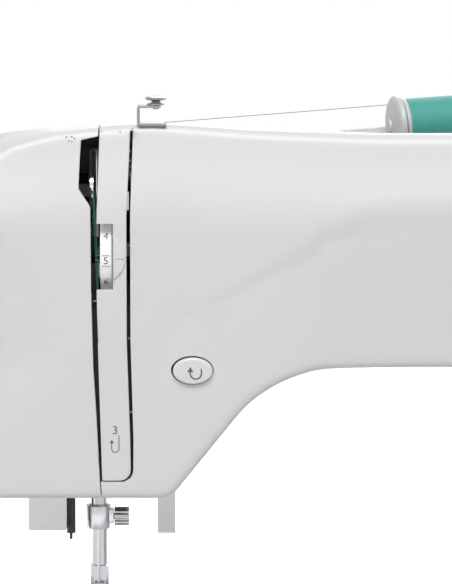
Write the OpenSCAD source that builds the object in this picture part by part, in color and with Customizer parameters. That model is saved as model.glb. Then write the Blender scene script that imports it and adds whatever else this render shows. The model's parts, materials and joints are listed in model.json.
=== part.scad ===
// Free-arm domestic sewing machine, mm. X runs right, Y back, Z up.
// The origin is the middle of the footprint on the table.

/* [Body] */
// Left end of the head
head_left = -192; // [-196:1:-186]
// Right end of the pillar shell
pillar_right = 178; // [170:1:186]
// Left face of the pillar
pillar_left = 24; // [16:1:34]
// Front face of the head and arm
front_y = -52; // [-56:1:-48]
// Back face of the head and arm
back_y = 48; // [44:1:54]
// Height of the head's underside
head_z = 143; // [140:1:150]
// Height of the arm's underside
arm_z = 191.5; // [188:0.5:196]
// Height of the arm's top
top_z = 284; // [280:1:290]
// Wall of the plastic shells
wall = 2.5; // [2:0.1:3]
// Seam between neighbouring shells
seam = 0.3; // [0.2:0.05:0.5]

/* [Base] */
// Height of the sewing surface
bed_z = 84; // [80:1:88]
// Front edge of the base and the tray
base_front = -88; // [-94:1:-84]
// Back edge of the base
base_back = 88; // [84:1:94]
// Left end of the accessory tray
tray_left = -200; // [-206:1:-198]
// Left end of the free arm
arm_left = -193; // [-194:1:-188]
// Front of the free arm
arm_front = -46; // [-47:1:-44]
// Back of the free arm
arm_back = 36; // [34:1:40]
// Underside of the free arm
arm_low = 26; // [22:1:30]
// Height of the rubber feet
foot_h = 4; // [3:0.5:6]
// Thickness of the base plate
plate_t = 8; // [6:1:10]

/* [Needle] */
// Needle bar position along the bed
needle_x = -136; // [-138:1:-134]
// Needle bar radius
needle_bar_r = 3.45; // [3:0.05:3.6]
// Needle bar stroke
stroke = 30; // [26:1:32]
// Presser bar behind the needle bar
presser_y = 16; // [14:1:18]
// Presser bar radius
presser_r = 3; // [2.5:0.1:3.2]
// Lift of the presser foot
foot_lift = 5.5; // [4:0.5:6]
// Needle tip above the bed at rest
tip_gap = 10.5; // [8:0.5:12]

/* [Drive] */
// Height of the upper shaft
shaft_z = 246; // [243:1:248]
// Radius of both shafts
shaft_r = 5; // [4:0.5:6]
// Height of the lower shaft
lower_z = 46; // [44:1:48]
// Handwheel radius
wheel_r = 29; // [24:1:32]
// Handwheel width
wheel_w = 19; // [14:1:22]
// Timing pulley radius
timing_r = 16; // [12:1:18]
// Pulley driven by the motor
driven_r = 24; // [20:1:26]
// Motor pulley radius
motor_pulley_r = 6; // [5:0.5:8]
// Motor body radius
motor_r = 22; // [18:1:24]
// Running clearance of a shaft in its bush
run_fit = 0.05; // [0.02:0.01:0.08]
// Gap between parts that move past each other
gap = 0.5; // [0.4:0.05:0.8]

/* [Hook] */
// Hook axis in front of the needle
hook_y = -22; // [-23:1:-21]
// Hook radius
hook_r = 18; // [17:0.5:18.5]
// Bobbin radius
bobbin_r = 10.3; // [9:0.1:11]
// Bobbin height
bobbin_h = 11; // [9:0.5:12]

/* [Controls] */
// Reverse button, long axis
reverse_w = 15.1; // [12:0.1:18]
// Reverse button, short axis
reverse_h = 10; // [8:0.1:12]
// Push travel of the reverse button
reverse_travel = 2.5; // [1.5:0.5:3]
// Tension dial radius
dial_r = 15; // [13.5:0.5:15.5]
// Width of the tension dial
dial_w = 4.4; // [3.6:0.1:4.8]
// Pattern dial radius
pattern_r = 23; // [18:1:26]
// Stitch length dial radius
length_r = 15; // [12:1:18]

/* [Thread path] */
// Spool radius
spool_r = 10; // [8:0.5:11]
// Spool length
spool_l = 56; // [44:1:60]
// Spool cap radius
cap_r = 11.5; // [11:0.5:14]
// Thread thickness
thread_d = 0.45; // [0.3:0.05:0.6]

/* [Hidden] */
$fn = 48;

WHITE = [0.93, 0.93, 0.94];
PALE_GREY = [0.72, 0.71, 0.7];
MID_GREY = [0.45, 0.45, 0.46];
DARK = [0.1, 0.1, 0.11];
STEEL = [0.7, 0.71, 0.73];
CAST = [0.5, 0.52, 0.54];
TEAL = [0.3, 0.68, 0.62];

// ---------- outlines: corners are [x, y, radius], listed anticlockwise ----------
function unit(v) = v / norm(v);
function flat(p) = [p[0], p[1]];
function arc_at(a, b, c, r, n) =
    let (u = unit(a - b), v = unit(c - b), half = acos(max(-1, min(1, u * v))) / 2)
    let (centre = b + unit(u + v) * r / sin(half), reach = r / tan(half))
    let (s = b + u * reach - centre, e = b + v * reach - centre)
    let (start = atan2(s[1], s[0]), turn = (atan2(e[1], e[0]) - start + 540) % 360 - 180)
    [for (i = [0:n]) centre + r * [cos(start + turn * i / n), sin(start + turn * i / n)]];
function rounded(c, n = 6) = let (m = len(c)) [for (i = [0:m - 1])
    let (a = flat(c[(i + m - 1) % m]), b = flat(c[i]), d = flat(c[(i + 1) % m]), r = c[i][2])
    each (r > 0 ? arc_at(a, b, d, r, n) : [b])];
// Moves every edge inwards by d and keeps the arcs concentric
function inset(c, d) = let (m = len(c)) [for (i = [0:m - 1])
    let (a = flat(c[(i + m - 1) % m]), b = flat(c[i]), e = flat(c[(i + 1) % m]))
    let (u = unit(b - a), v = unit(e - b), nu = [-u[1], u[0]], nv = [-v[1], v[0]])
    let (p = b + (nu + nv) * d / (1 + nu * nv), left = u[0] * v[1] - u[1] * v[0] > 0)
    [p[0], p[1], c[i][2] == 0 ? 0 : max(0.2, c[i][2] + (left ? -d : d))]];

// Extrudes an outline drawn in X and Z from y0 to y1
module across_y(y0, y1) translate([0, y1, 0]) rotate([90, 0, 0]) linear_extrude(y1 - y0) children();
// Extrudes an outline drawn in Y and Z from x0 to x1
module across_x(x0, x1) translate([x0, 0, 0]) rotate([90, 0, 90]) linear_extrude(x1 - x0) children();
// Extrudes an outline drawn in X and Y from z0 to z1
module across_z(z0, z1) translate([0, 0, z0]) linear_extrude(z1 - z0) children();
module block(low, high) translate(low) cube(high - low);
// Round bars along each axis
module bar_x(x0, x1, y, z, r) translate([x0, y, z]) rotate([0, 90, 0]) cylinder(h = x1 - x0, r = r);
module bar_y(y0, y1, x, z, r) translate([x, y1, z]) rotate([90, 0, 0]) cylinder(h = y1 - y0, r = r);
module bar_z(z0, z1, x, y, r) translate([x, y, z0]) cylinder(h = z1 - z0, r = r);

// ---------- derived sizes ----------
corner_x = needle_x + 29;
slope_x = needle_x + 68.5;
split_y = -4;
base_top = foot_h + plate_t;
shell_low = bed_z + seam;
crank_r = stroke / 2;
inner_front = front_y + wall;

// Side-to-side outline of the upper body, seen from the front
body_front = [[head_left, head_z, 14], [corner_x, head_z, 5], [slope_x, arm_z, 45], [pillar_left, arm_z, 24],
    [pillar_left, shell_low, 0], [pillar_right, shell_low, 0], [pillar_right, top_z + 3, 26],
    [needle_x + 20, top_z + 3, 200], [needle_x - 22, top_z - 0.5, 90], [head_left, top_z - 12, 34]];
// Front-to-back outline of the same body, seen from the right
body_side = [[back_y + 14, bed_z - 4, 0], [back_y, head_z + 5, 60], [back_y - 2, top_z - 20, 20],
    [14, top_z - 7, 150], [-22, top_z + 0.5, 150], [front_y + 6, top_z - 0.5, 4], [front_y, bed_z + 166, 60],
    [front_y, head_z + 5, 60], [front_y - 8, bed_z - 4, 0]];
// The same body seen from above
body_plan = [[head_left, front_y, 24], [pillar_left - 14, front_y, 60], [pillar_left + 36, front_y - 10, 60],
    [pillar_right, front_y - 10, 16], [pillar_right, back_y + 16, 20], [pillar_left + 16, back_y + 16, 60],
    [pillar_left - 24, back_y, 60], [head_left, back_y, 28]];
// Edges of the two front slots, from the bottom up; the strip lies between them
slot_left = [[-133.4, 149.2, 0], [-133.9, 160, 0], [-134.8, 178, 0], [-135.7, 193, 0], [-136.4, 223, 0],
    [-136.6, 254, 3], [-141.1, 260.5, 3], [-140.6, 272, 0], [-139.8, 295, 0]];
slot_right = [[-120.6, 295, 0], [-122, 251, 20], [-122, 203, 40], [-121, 165, 0], [-121.2, 149.2, 4.5]];
strip_edge = [[-132.9, 149.7, 0], [-122, 149.7, 4], [-122.2, 165, 0], [-123.4, 203, 40], [-123.4, 251, 20],
    [-121.4, 295, 0], [-133.2, 295, 0], [-134.6, 249, 20], [-134.7, 223, 0], [-134.1, 193, 0], [-133.3, 165, 0]];
face_seam = [-132.4, head_z - 10, 0];

module body_form(d) intersection() {
    across_y(front_y - 20, back_y + 20) polygon(rounded(inset(body_front, d)));
    across_x(head_left - 5, pillar_right + 5) polygon(rounded(inset(body_side, d)));
    across_z(bed_z - 5, top_z + 10) polygon(rounded(inset(body_plan, d)));
}
// Plastic wall of the upper body, open downwards where the pillar stands on the base
module body_wall() difference() {
    body_form(0);
    body_form(wall);
    block([pillar_left + wall, front_y - 4, bed_z - 2], [pillar_right - wall, back_y + 8, bed_z + 6]);
}
// Everything left of the take-up slot, and the slots with the strip between them
module left_region() polygon(rounded(concat([[head_left - 10, head_z - 10, 0], face_seam], slot_left,
    [[head_left - 10, 295, 0]])));
// Everything left of the right-hand slot's outer edge
module open_region() polygon(rounded(concat(slot_right, [slot_left[0], face_seam, [head_left - 10, head_z - 10, 0],
    [head_left - 10, 295, 0]])));
// Top lid outline; its hollow holds the spool behind the front ridge
lid_plan = [[needle_x + 24, -30, 4], [-48, -46.5, 10], [pillar_right - 12, -46.5, 6], [pillar_right - 12, 34, 6],
    [needle_x + 24, 34, 6]];
hollow_plan = [[needle_x + 34, -20, 6], [-46, -44, 14], [74, -44, 8], [74, 30, 10], [needle_x + 34, 30, 10]];
hollow_z = top_z - 16;
module lid_region(d) across_z(hollow_z - 8, top_z + 10) polygon(rounded(inset(lid_plan, d)));

// Holes in the pillar and head for the controls
reverse_x = needle_x + 37.5;
reverse_z = head_z + 49;
pattern_x = (pillar_left + pillar_right) / 2;
pattern_z = arm_z + 36;
length_z = bed_z + 62;
module ellipse_y(y0, y1, w, h, x, z) translate([x, y1, z]) rotate([90, 0, 0])
    linear_extrude(y1 - y0) polygon([for (a = [0:7.5:359]) [w / 2 * cos(a), h / 2 * sin(a)]]);
module control_holes() {
    ellipse_y(front_y - 12, front_y + 8, reverse_w + 2 * gap, reverse_h + 2 * gap, reverse_x, reverse_z);
    bar_y(front_y - 14, front_y + 8, pattern_x, pattern_z, 6 + gap);
    bar_y(front_y - 14, front_y + 8, pattern_x, length_z, 5 + gap);
}
module hub_hole() bar_x(pillar_right - 10, pillar_right + 2, 0, shaft_z, hub_r + gap);
// Opening in the head's floor for the bars, the threader and the buttonhole lever
module floor_hole() block([needle_x - 28.5, -14, head_z - 5], [needle_x + 14, 26, head_z + 14]);

module front_cover() color(WHITE) {
    difference() {
        body_wall();
        block([head_left - 5, split_y, 0], [pillar_right + 5, back_y + 20, top_z + 20]);
        across_y(front_y - 15, split_y + 1) left_region();
        across_y(front_y - 16, front_y + 12) open_region();
        lid_region(-seam);
        control_holes();
        floor_hole();
        hub_hole();
    }
    // Bosses that meet the frame's front face
    for (x = [needle_x + 46, pillar_left + 4, pillar_right - 38])
        bar_y(front_y + wall / 2, frame_front - run_fit, x, frame_z + 2.5, 2.4);
}
module rear_cover() color(WHITE) {
    difference() {
        body_wall();
        block([head_left - 5, front_y - 20, 0], [pillar_right + 5, split_y + seam, top_z + 20]);
        lid_region(-seam);
        floor_hole();
        block([needle_x + 20, 26, head_z - 5], [needle_x + 32, back_y + 12, head_z + 26]);
        hub_hole();
        winder_slot();
    }
    // Ears that hold the handle's pins
    for (x = [handle_x[0] - 11, handle_x[1] + 6 + seam]) difference() {
        block([x, back_y - 3, handle_z - 6], [x + 5 - seam, handle_y + 5, handle_z + 6]);
        bar_x(x - 1, x + 6, handle_y, handle_z, 2.5 + run_fit);
    }
    for (x = [needle_x + 60, pillar_left + 10, pillar_right - 50])
        bar_y(frame_back + run_fit, back_y - wall / 2, x, frame_z + 16, 2.4);
}
module face_cover() color(WHITE) difference() {
    intersection() {
        body_wall();
        across_y(front_y - 16, split_y - seam) translate([-seam, 0]) left_region();
    }
    floor_hole();
}

// Tension dial window in the strip, and the raised pad with the pointer beside it
window_low = [needle_x + 0.5, bed_z + 139.1];
window_high = [needle_x + 7.1, bed_z + 163.3];
dial_x = needle_x + 4.8;
dial_z = (window_low[1] + window_high[1]) / 2;
dial_y = front_y + 1.4 + dial_r;
pad_r = 12.4;
strip_post_z = [dial_z - 26, arm_z - 20];
module thread_strip() color(WHITE) {
    difference() {
        intersection() {
            body_wall();
            across_y(front_y - 16, front_y + 11) polygon(rounded(strip_edge));
        }
        block([window_low[0], front_y - 5, window_low[1]], [window_high[0], front_y + 9, window_high[1]]);
    }
    // Lens-shaped pad
    intersection() {
        bar_y(front_y - 0.8, front_y + 1, window_high[0] - 6.6, dial_z, pad_r);
        block([window_high[0] + 0.2, front_y - 1, dial_z - 8], [needle_x + 12.4, front_y + 2, dial_z + 8]);
    }
    // Posts that clip on the frame
    for (z = strip_post_z) bar_y(inner_front - 0.6, frame_front - run_fit, needle_x + 9.5, z, 1.8);
}

// ---------- top lid with the spool hollow ----------
spool_y = -14;
spool_z = top_z - 3;
spool_x = needle_x + 113;
spool_turn = 15;
spool_tilt = 2.5;
pin_r = 2.6;
// Places something drawn along +X on the slanted spool axis
module on_spool_axis() translate([spool_x, spool_y, spool_z]) rotate([0, -spool_tilt, spool_turn]) children();
guide_x = needle_x + 17.6;
guide_y = -37;
winder_x = pillar_right - 42;
winder_y = -8;
module top_cover() color(WHITE) {
    difference() {
        union() {
            intersection() {
                body_form(0);
                lid_region(0);
                block([head_left, front_y, hollow_z - 2], [pillar_right, back_y, top_z + 10]);
            }
        }
        // Spool hollow, open upwards
        across_z(hollow_z, top_z + 12) polygon(rounded(hollow_plan));
        // Underside relief leaves a plate round the hollow
        difference() {
            intersection() {
                body_form(wall);
                lid_region(wall);
            }
            across_z(hollow_z - 3, top_z + 12) polygon(rounded(inset(hollow_plan, -wall)));
        }
        on_spool_axis() bar_x(spool_l - 6, spool_l + 40, 0, 0, pin_r + gap);
        bar_z(hollow_z - 10, top_z + 10, winder_x, winder_y, 4);
    }
    // Bracket seat in front of the hollow
    bar_z(top_z - 12, top_z - 3.2, needle_x + 30, -27, 2);
}

// ---------- base ----------
base_plan = [[pillar_left, base_front, 10], [pillar_right, base_front, 18], [pillar_right, base_back, 18],
    [pillar_left, base_back, 10]];
module base_shell() color(WHITE) difference() {
    across_z(base_top + seam, bed_z) polygon(rounded(base_plan));
    across_z(base_top - 1, bed_z - wall) polygon(rounded(inset(base_plan, wall)));
    // Free arm enters through the left wall
    block([pillar_left - 1, arm_front - seam, arm_low - seam], [pillar_left + wall + 1, arm_back + seam, bed_z + 1]);
    // Drive and column pass up through the top
    block([pillar_left + wall, front_y - 3, bed_z - wall - 1], [pillar_right - wall, back_y + 8, bed_z + 1]);
    switch_hole();
    block([pillar_right - wall - 1, 38, 30], [pillar_right + 1, 60, 44]);
}
plate_left = needle_x - 14;
plate_back = arm_back + 22;
plate_plan = [[plate_left, arm_front + 2, 20], [pillar_left, arm_front + 2, 0], [pillar_left, base_front, 10],
    [pillar_right, base_front, 18], [pillar_right, base_back, 18], [pillar_left, base_back, 10],
    [pillar_left, plate_back, 24], [plate_left, plate_back, 24]];
feet_at = [[plate_left + 20, arm_front + 22], [plate_left + 20, plate_back - 18], [pillar_right - 20, base_front + 20],
    [pillar_right - 20, base_back - 20]];
module base_plate() color(PALE_GREY) difference() {
    across_z(foot_h, base_top) polygon(rounded(plate_plan));
    for (p = feet_at) bar_z(foot_h - 1, foot_h + 2, p[0], p[1], 7 + run_fit);
}
module rubber_feet() color(DARK) for (p = feet_at) {
    bar_z(0, foot_h - run_fit, p[0], p[1], 9);
    bar_z(foot_h - 1, foot_h + 2 - run_fit, p[0], p[1], 7);
}
arm_plan = [[arm_left, arm_front, 14], [pillar_left + 20, arm_front, 0], [pillar_left + 20, arm_back, 0],
    [arm_left, arm_back, 18]];
cover_back = -9.8;
needle_plate_plan = [[needle_x - 34, cover_back + seam, 2], [needle_x + 30, cover_back + seam, 2],
    [needle_x + 30, 30, 3], [needle_x - 34, 30, 3]];
cover_plan = [[needle_x - 26, -41, 4], [needle_x + 22, -41, 4], [needle_x + 22, cover_back, 0],
    [needle_x - 26, cover_back, 0]];
module free_arm_shell() color(WHITE) difference() {
    across_z(arm_low, bed_z) polygon(rounded(arm_plan));
    across_z(arm_low + wall, bed_z - wall) polygon(rounded(slice_in(inset(arm_plan, wall))));
    across_z(bed_z - 2, bed_z + 1) polygon(rounded(inset(needle_plate_plan, -seam)));
    across_z(bed_z - 9, bed_z + 1) polygon(rounded(inset(needle_plate_plan, 3)));
    across_z(bed_z - 2.2, bed_z + 1) polygon(rounded(inset(cover_plan, -seam)));
    across_z(bed_z - 9, bed_z + 1) polygon(rounded(inset(cover_plan, 1.2)));
    // Slot of the drop-feed lever
    block([lever_slot[0] + 2, arm_back - wall - 1, 49], [lever_slot[1] + 2, arm_back + 1, 55]);
}
// The shell's hollow runs out through its right end
function slice_in(c) = [for (p = c) [p[0] > pillar_left ? p[0] + 10 : p[0], p[1], p[2]]];

// ---------- cast frame ----------
frame_front = -28;
frame_back = 30;
frame_z = 204;
frame_t = 4;
frame_top = 262;
frame_left = needle_x - 14;
column_left = pillar_right - 66;
column_right = pillar_right - 32;
column_back = 24;
bush_r = 9;
hook_gear_r = 10;
lower_gear_r = 11;
lower_y = hook_y + hook_gear_r + lower_gear_r + seam;
rail_z = 64;
upper_walls = [needle_x + 24, pillar_left - 14, column_right - 14];
lower_lugs = [needle_x + 14, pillar_left - 4, pillar_left + 52];
guide_low = [head_z + 5, head_z + 13];
guide_high = [head_z + 86, head_z + 94];
collar_z = guide_low[1] + 8;
timing_x = pillar_left + 32;
timing_w = 10;
presser_bore = presser_r + run_fit;
threader_x = needle_x - 10.6;
threader_y = -3;
threader_r = 1.7;
take_up_y = 22;
take_up_z = shaft_z - 11;
module frame_lug(z) difference() {
    block([frame_left, -8, z[0]], [needle_x + 5.5, frame_back - frame_t + 0.5, z[1]]);
    bar_z(z[0] - 1, z[1] + 1, needle_x, 0, needle_bar_r + run_fit);
    bar_z(z[0] - 1, z[1] + 1, needle_x, presser_y, presser_bore);
    bar_z(z[0] - 1, z[1] + 1, threader_x, threader_y, threader_r + run_fit);
}
module main_frame() color(CAST) {
    difference() {
        union() {
            // Arm: floor, back wall and three bearing walls
            block([upper_walls[0], frame_front, frame_z], [column_right, frame_back, frame_z + 5]);
            block([upper_walls[0], frame_back - frame_t, frame_z], [column_right, frame_back, frame_top]);
            for (x = upper_walls) block([x, frame_front, frame_z], [x + 8, frame_back, frame_top]);
            // Front rail for the cover's bosses
            block([upper_walls[0], frame_front, frame_z - 3], [column_right, frame_front + frame_t, frame_z + 9]);
        }
        for (x = upper_walls) bar_x(x - 1, x + 9, 0, shaft_z, bush_r);
        block([timing_x - 3, -timing_r - 4, frame_z - 1], [timing_x + timing_w + 3, timing_r + 4, frame_z + 6]);
    }
    // Head: back wall with a window for the lifter, and the bracket for the tension
    difference() {
        block([needle_x - 26, frame_back - frame_t, guide_low[0]], [upper_walls[0] + 1, frame_back, frame_top - 4]);
        block([needle_x - 9, frame_front, guide_low[0] - 1], [needle_x + 9, frame_back + 1, collar_z + 6.5 + foot_lift]);
    }
    block([needle_x - 9, frame_back - frame_t, guide_low[0]], [needle_x + 9, frame_back, guide_low[0] + 3]);
    block([needle_x + 7.4, frame_front, arm_z - 34], [upper_walls[0] + 8, frame_front + 3.5, frame_z + 18]);
    block([upper_walls[0] + 1, frame_front, arm_z - 34], [upper_walls[0] + 8, frame_back, frame_z + 1]);
    difference() {
        block([needle_x + 20, dial_y - 5, dial_z - 7], [upper_walls[0] + 1, frame_front + 5, dial_z + 7]);
        bar_x(needle_x + 19, upper_walls[0] + 2, dial_y, dial_z, stud_r + run_fit);
    }
    for (z = [guide_low, guide_high]) frame_lug(z);
    bar_x(frame_left - 4, frame_left + 1, take_up_y, take_up_z, 2.5);
    // Bearings of the foot lifter
    for (x = [needle_x - 16, lifter_x - 10]) difference() {
        block([x, frame_back - 1, lifter_z - 7], [x + 5, lifter_y + 6, lifter_z + 7]);
        bar_x(x - 1, x + 6, lifter_y, lifter_z, lifter_r + run_fit);
    }
    // Column
    for (x = [column_left, column_right - frame_t])
        block([x, frame_front, base_top], [x + frame_t, column_back, frame_z + 1]);
    block([column_left, column_back - frame_t, base_top], [column_right, column_back, frame_z + 1]);
    block([column_left - 8, frame_front - 6, base_top], [column_right + 4, column_back, base_top + 5]);
    // Lower arm with the shaft's lugs, the hook's boss and the feed rail
    difference() {
        union() {
            block([frame_left, -32, arm_low + 4], [column_left + 1, 28, arm_low + 8]);
            for (x = lower_lugs) block([x, lower_y - 12, arm_low + 7], [x + 6, lower_y + 12, lower_z + 12]);
            bar_z(arm_low + 7, arm_low + 12, needle_x, hook_y, 7);
            block([needle_x - 12, 12, arm_low + 7], [needle_x + 12, 27, rail_z]);
        }
        for (x = lower_lugs) bar_x(x - 1, x + 7, lower_y, lower_z, bush_r - 1);
        bar_z(arm_low, arm_low + 14, needle_x, hook_y, 3 + run_fit);
        block([timing_x - 3, -timing_r - 5, arm_low], [timing_x + timing_w + 3, timing_r + 4, arm_low + 9]);
    }
}
module shaft_bushes() color([0.72, 0.52, 0.3]) {
    for (x = upper_walls) difference() {
        bar_x(x - 0.5, x + 8.5, 0, shaft_z, bush_r - 0.02);
        bar_x(x - 2, x + 10, 0, shaft_z, shaft_r + run_fit);
    }
    for (x = lower_lugs) difference() {
        bar_x(x - 0.5, x + 6.5, lower_y, lower_z, bush_r - 1.02);
        bar_x(x - 2, x + 8, lower_y, lower_z, shaft_r - 1 + run_fit);
    }
}

// ---------- upper drive ----------
fit_bore = 0.02;
wheel_x = pillar_right + 3;
hub_r = 12;
crank_x = upper_walls[0] - 4;
crank_w = 7;
crank_face = crank_x - crank_w;
link_x = crank_face - 2.7;
link_w = 3.2;
driven_x = column_right + 6;
driven_w = 8;
module upper_shaft() color(STEEL) {
    bar_x(crank_face, wheel_x + wheel_w - 4, 0, shaft_z, shaft_r);
    // Collars beside the middle bearing
    for (x = [upper_walls[1] - 7, upper_walls[1] + 9.5]) bar_x(x, x + 5, 0, shaft_z, shaft_r + 3);
}
module handwheel() color(WHITE) translate([wheel_x, 0, shaft_z]) rotate([0, 90, 0]) {
    difference() {
        rotate_extrude($fn = 96) polygon(rounded([[shaft_r + fit_bore, -6, 0], [hub_r, -6, 0], [hub_r, 0, 0],
            [wheel_r, 0, 3], [wheel_r, wheel_w, 4], [wheel_r - 5, wheel_w, 3], [wheel_r - 7, wheel_w - 4, 3],
            [shaft_r + fit_bore, wheel_w - 4, 0]], 4));
        // Finger grooves round the rim
        for (i = [0:23]) rotate([0, 0, i * 15]) translate([wheel_r + 1.2, 0, -1]) cylinder(h = wheel_w + 2, r = 2);
    }
}
module pulley(x, w, y, z, r, bore) difference() {
    union() {
        bar_x(x, x + w, y, z, r);
        for (e = [x - 1.5, x + w]) bar_x(e, e + 1.5, y, z, r + 2.2);
        bar_x(x - 5, x + 1, y, z, bore + 4);
    }
    bar_x(x - 6, x + w + 3, y, z, bore + fit_bore);
}
module driven_pulley() color(DARK) pulley(driven_x, driven_w, 0, shaft_z, driven_r, shaft_r);
module timing_pulley_upper() color(MID_GREY) pulley(timing_x, timing_w, 0, shaft_z, timing_r, shaft_r);
module timing_pulley_lower() color(MID_GREY) pulley(timing_x, timing_w, lower_y, lower_z, timing_r, shaft_r - 1);
// Belt round two pulleys: outline in Y and Z
module belt_loop(x0, x1, a, ra, b, rb, t) {
    inner = seam;
    d = norm(b - a);
    lean = acos((ra - rb) / d);
    aim = atan2(b[1] - a[1], b[0] - a[0]);
    function ring(g) = concat(
        [for (i = [0:16]) let (w = aim + lean + (360 - 2 * lean) * i / 16) a + (ra + g) * [cos(w), sin(w)]],
        [for (i = [0:12]) let (w = aim - lean + 2 * lean * i / 12) b + (rb + g) * [cos(w), sin(w)]]);
    across_x(x0, x1) difference() {
        polygon(ring(inner + t));
        polygon(ring(inner));
    }
}
module timing_belt() color(DARK) belt_loop(timing_x + 0.5, timing_x + timing_w - 0.5, [0, shaft_z], timing_r,
    [lower_y, lower_z], timing_r, 1.6);
motor_y = 50;
motor_z = lower_z;
module motor_belt() color(DARK) belt_loop(driven_x + 0.5, driven_x + driven_w - 0.5, [0, shaft_z], driven_r,
    [motor_y, motor_z], motor_pulley_r, 1.5);
motor_shaft_r = 3;
motor_x = [pillar_right - 96, driven_x - 8];
module motor() color(MID_GREY) difference() {
    union() {
        bar_x(motor_x[0], motor_x[1], motor_y, motor_z, motor_r);
        bar_x(motor_x[0] - 5, motor_x[1] + 3, motor_y, motor_z, 8);
        // Foot
        block([motor_x[0] + 6, motor_y - 16, base_top], [motor_x[1] - 8, motor_y + 16, motor_z - motor_r + 4]);
    }
    bar_x(motor_x[0] - 6, motor_x[1] + 5, motor_y, motor_z, motor_shaft_r + run_fit);
}
module motor_pulley() color(STEEL) {
    bar_x(motor_x[0] - 9, driven_x + driven_w + 2, motor_y, motor_z, motor_shaft_r);
    bar_x(driven_x, driven_x + driven_w, motor_y, motor_z, motor_pulley_r);
    for (e = [driven_x - 1.5, driven_x + driven_w]) bar_x(e, e + 1.5, motor_y, motor_z, motor_pulley_r + 2);
}

// ---------- needle drive ----------
pin_z = shaft_z + crank_r;
link_l = 40;
stud_z = pin_z - link_l;
module needle_crank() color(STEEL) {
    difference() {
        union() {
            bar_x(crank_face, crank_x, 0, shaft_z, 11);
            // Counterweight opposite the pin
            intersection() {
                bar_x(crank_face, crank_x, 0, shaft_z, crank_r + 4);
                block([crank_face, -20, shaft_z - 25], [crank_x, 20, shaft_z - 4]);
            }
            block([crank_face, -4.5, shaft_z], [crank_x, 4.5, pin_z]);
            bar_x(crank_face, crank_x, 0, pin_z, 4.5);
        }
        bar_x(crank_face - 1, crank_x + 1, 0, shaft_z, shaft_r + fit_bore);
    }
    bar_x(link_x - link_w, crank_face + 1, 0, pin_z, 2.5);
}
module needle_link() color(STEEL) difference() {
    union() {
        bar_x(link_x - link_w, link_x, 0, pin_z, 6);
        bar_x(link_x - link_w, link_x, 0, stud_z, 5);
        block([link_x - link_w, -3, stud_z], [link_x, 3, pin_z]);
    }
    bar_x(link_x - link_w - 1, link_x + 1, 0, pin_z, 2.5 + run_fit);
    bar_x(link_x - link_w - 1, link_x + 1, 0, stud_z, 2.3);
}
clamp_top = head_z - 12.5;
clamp_h = 9;
clamp_low = clamp_top - clamp_h;
needle_tip = bed_z + tip_gap;
bar_low = clamp_low + 1.5;
module needle_bar() color(STEEL) {
    difference() {
        bar_z(bar_low, guide_high[1] + stroke + 4, needle_x, 0, needle_bar_r);
        bar_z(bar_low - 1, bar_low + 8, needle_x, 0, 1.05);
    }
    // Clamp block that carries the link's stud
    difference() {
        union() {
            block([needle_x - 5, -5.5, stud_z - 6], [needle_x + 5, 5.5, stud_z + 6]);
            bar_x(needle_x + 4, link_x - link_w - seam, 0, stud_z, 2.2);
        }
        bar_z(stud_z - 7, stud_z + 7, needle_x, 0, needle_bar_r - 0.1);
    }
}
module needle_clamp() color(STEEL) difference() {
    union() {
        bar_z(clamp_low, clamp_top, needle_x, 0, needle_bar_r + 1.4);
        block([needle_x, -2.4, clamp_low + 2], [needle_x + 6, 2.4, clamp_top - 1.5]);
    }
    bar_z(clamp_low + 1.5, clamp_top + 1, needle_x, 0, needle_bar_r + fit_bore);
    bar_z(clamp_low - 1, clamp_low + 3, needle_x, 0, 1.07);
    bar_x(needle_x + 4, needle_x + 8, 0, clamp_low + 4.5, 1.3);
}
module clamp_screw() color(STEEL) {
    bar_x(needle_x + 4.2, needle_x + 8, 0, clamp_low + 4.5, 1.25);
    difference() {
        bar_x(needle_x + 6.3, needle_x + 12, 0, clamp_low + 4.5, 3.6);
        for (a = [0:30:330]) translate([0, 0, clamp_low + 4.5]) rotate([a, 0, 0])
            bar_x(needle_x + 6, needle_x + 13, 4.1, 0, 0.8);
    }
}
module needle() color(STEEL) difference() {
    union() {
        bar_z(needle_tip + 26, bar_low + 7, needle_x, 0, 1);
        bar_z(needle_tip + 3, needle_tip + 26.5, needle_x, 0, 0.5);
        translate([needle_x, 0, needle_tip]) cylinder(h = 3, r1 = 0.05, r2 = 0.5);
    }
    block([needle_x - 0.2, -2, needle_tip + 4], [needle_x + 0.2, 2, needle_tip + 5.6]);
}

// ---------- take-up, threader, buttonhole lever ----------
lever_x = frame_left - 3.5;
lever_t = 1.6;
eye_y = take_up_y - 62.1;
eye_z = take_up_z + 26.4;
slot_x = needle_x - 1.4;
module take_up_lever() color(STEEL) {
    elbow_y = -32;
    elbow_z = take_up_z + 22.8;
    rise = atan2(elbow_z - take_up_z, take_up_y - elbow_y);
    difference() {
        union() {
            bar_x(lever_x - 0.7, lever_x + lever_t, take_up_y, take_up_z, 3.8);
            translate([lever_x, take_up_y, take_up_z]) rotate([-rise, 0, 0])
                block([0, elbow_y - take_up_y - 4, -3], [lever_t, 0, 3]);
        }
        bar_x(lever_x - 3, lever_x + 4, take_up_y, take_up_z, 2.5 + run_fit);
    }
    // Crosspiece and the flat tip with its eye
    block([lever_x, elbow_y - 3, elbow_z - 1.5], [slot_x + lever_t, elbow_y, elbow_z + 3]);
    difference() {
        union() {
            block([slot_x, eye_y, elbow_z - 1.5], [slot_x + lever_t, elbow_y, elbow_z + 3]);
            bar_x(slot_x, slot_x + lever_t, eye_y, eye_z, 3.6);
        }
        bar_x(slot_x - 1, slot_x + 3, eye_y, eye_z, 1.3);
    }
}
threader_low = bed_z + 38;
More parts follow.
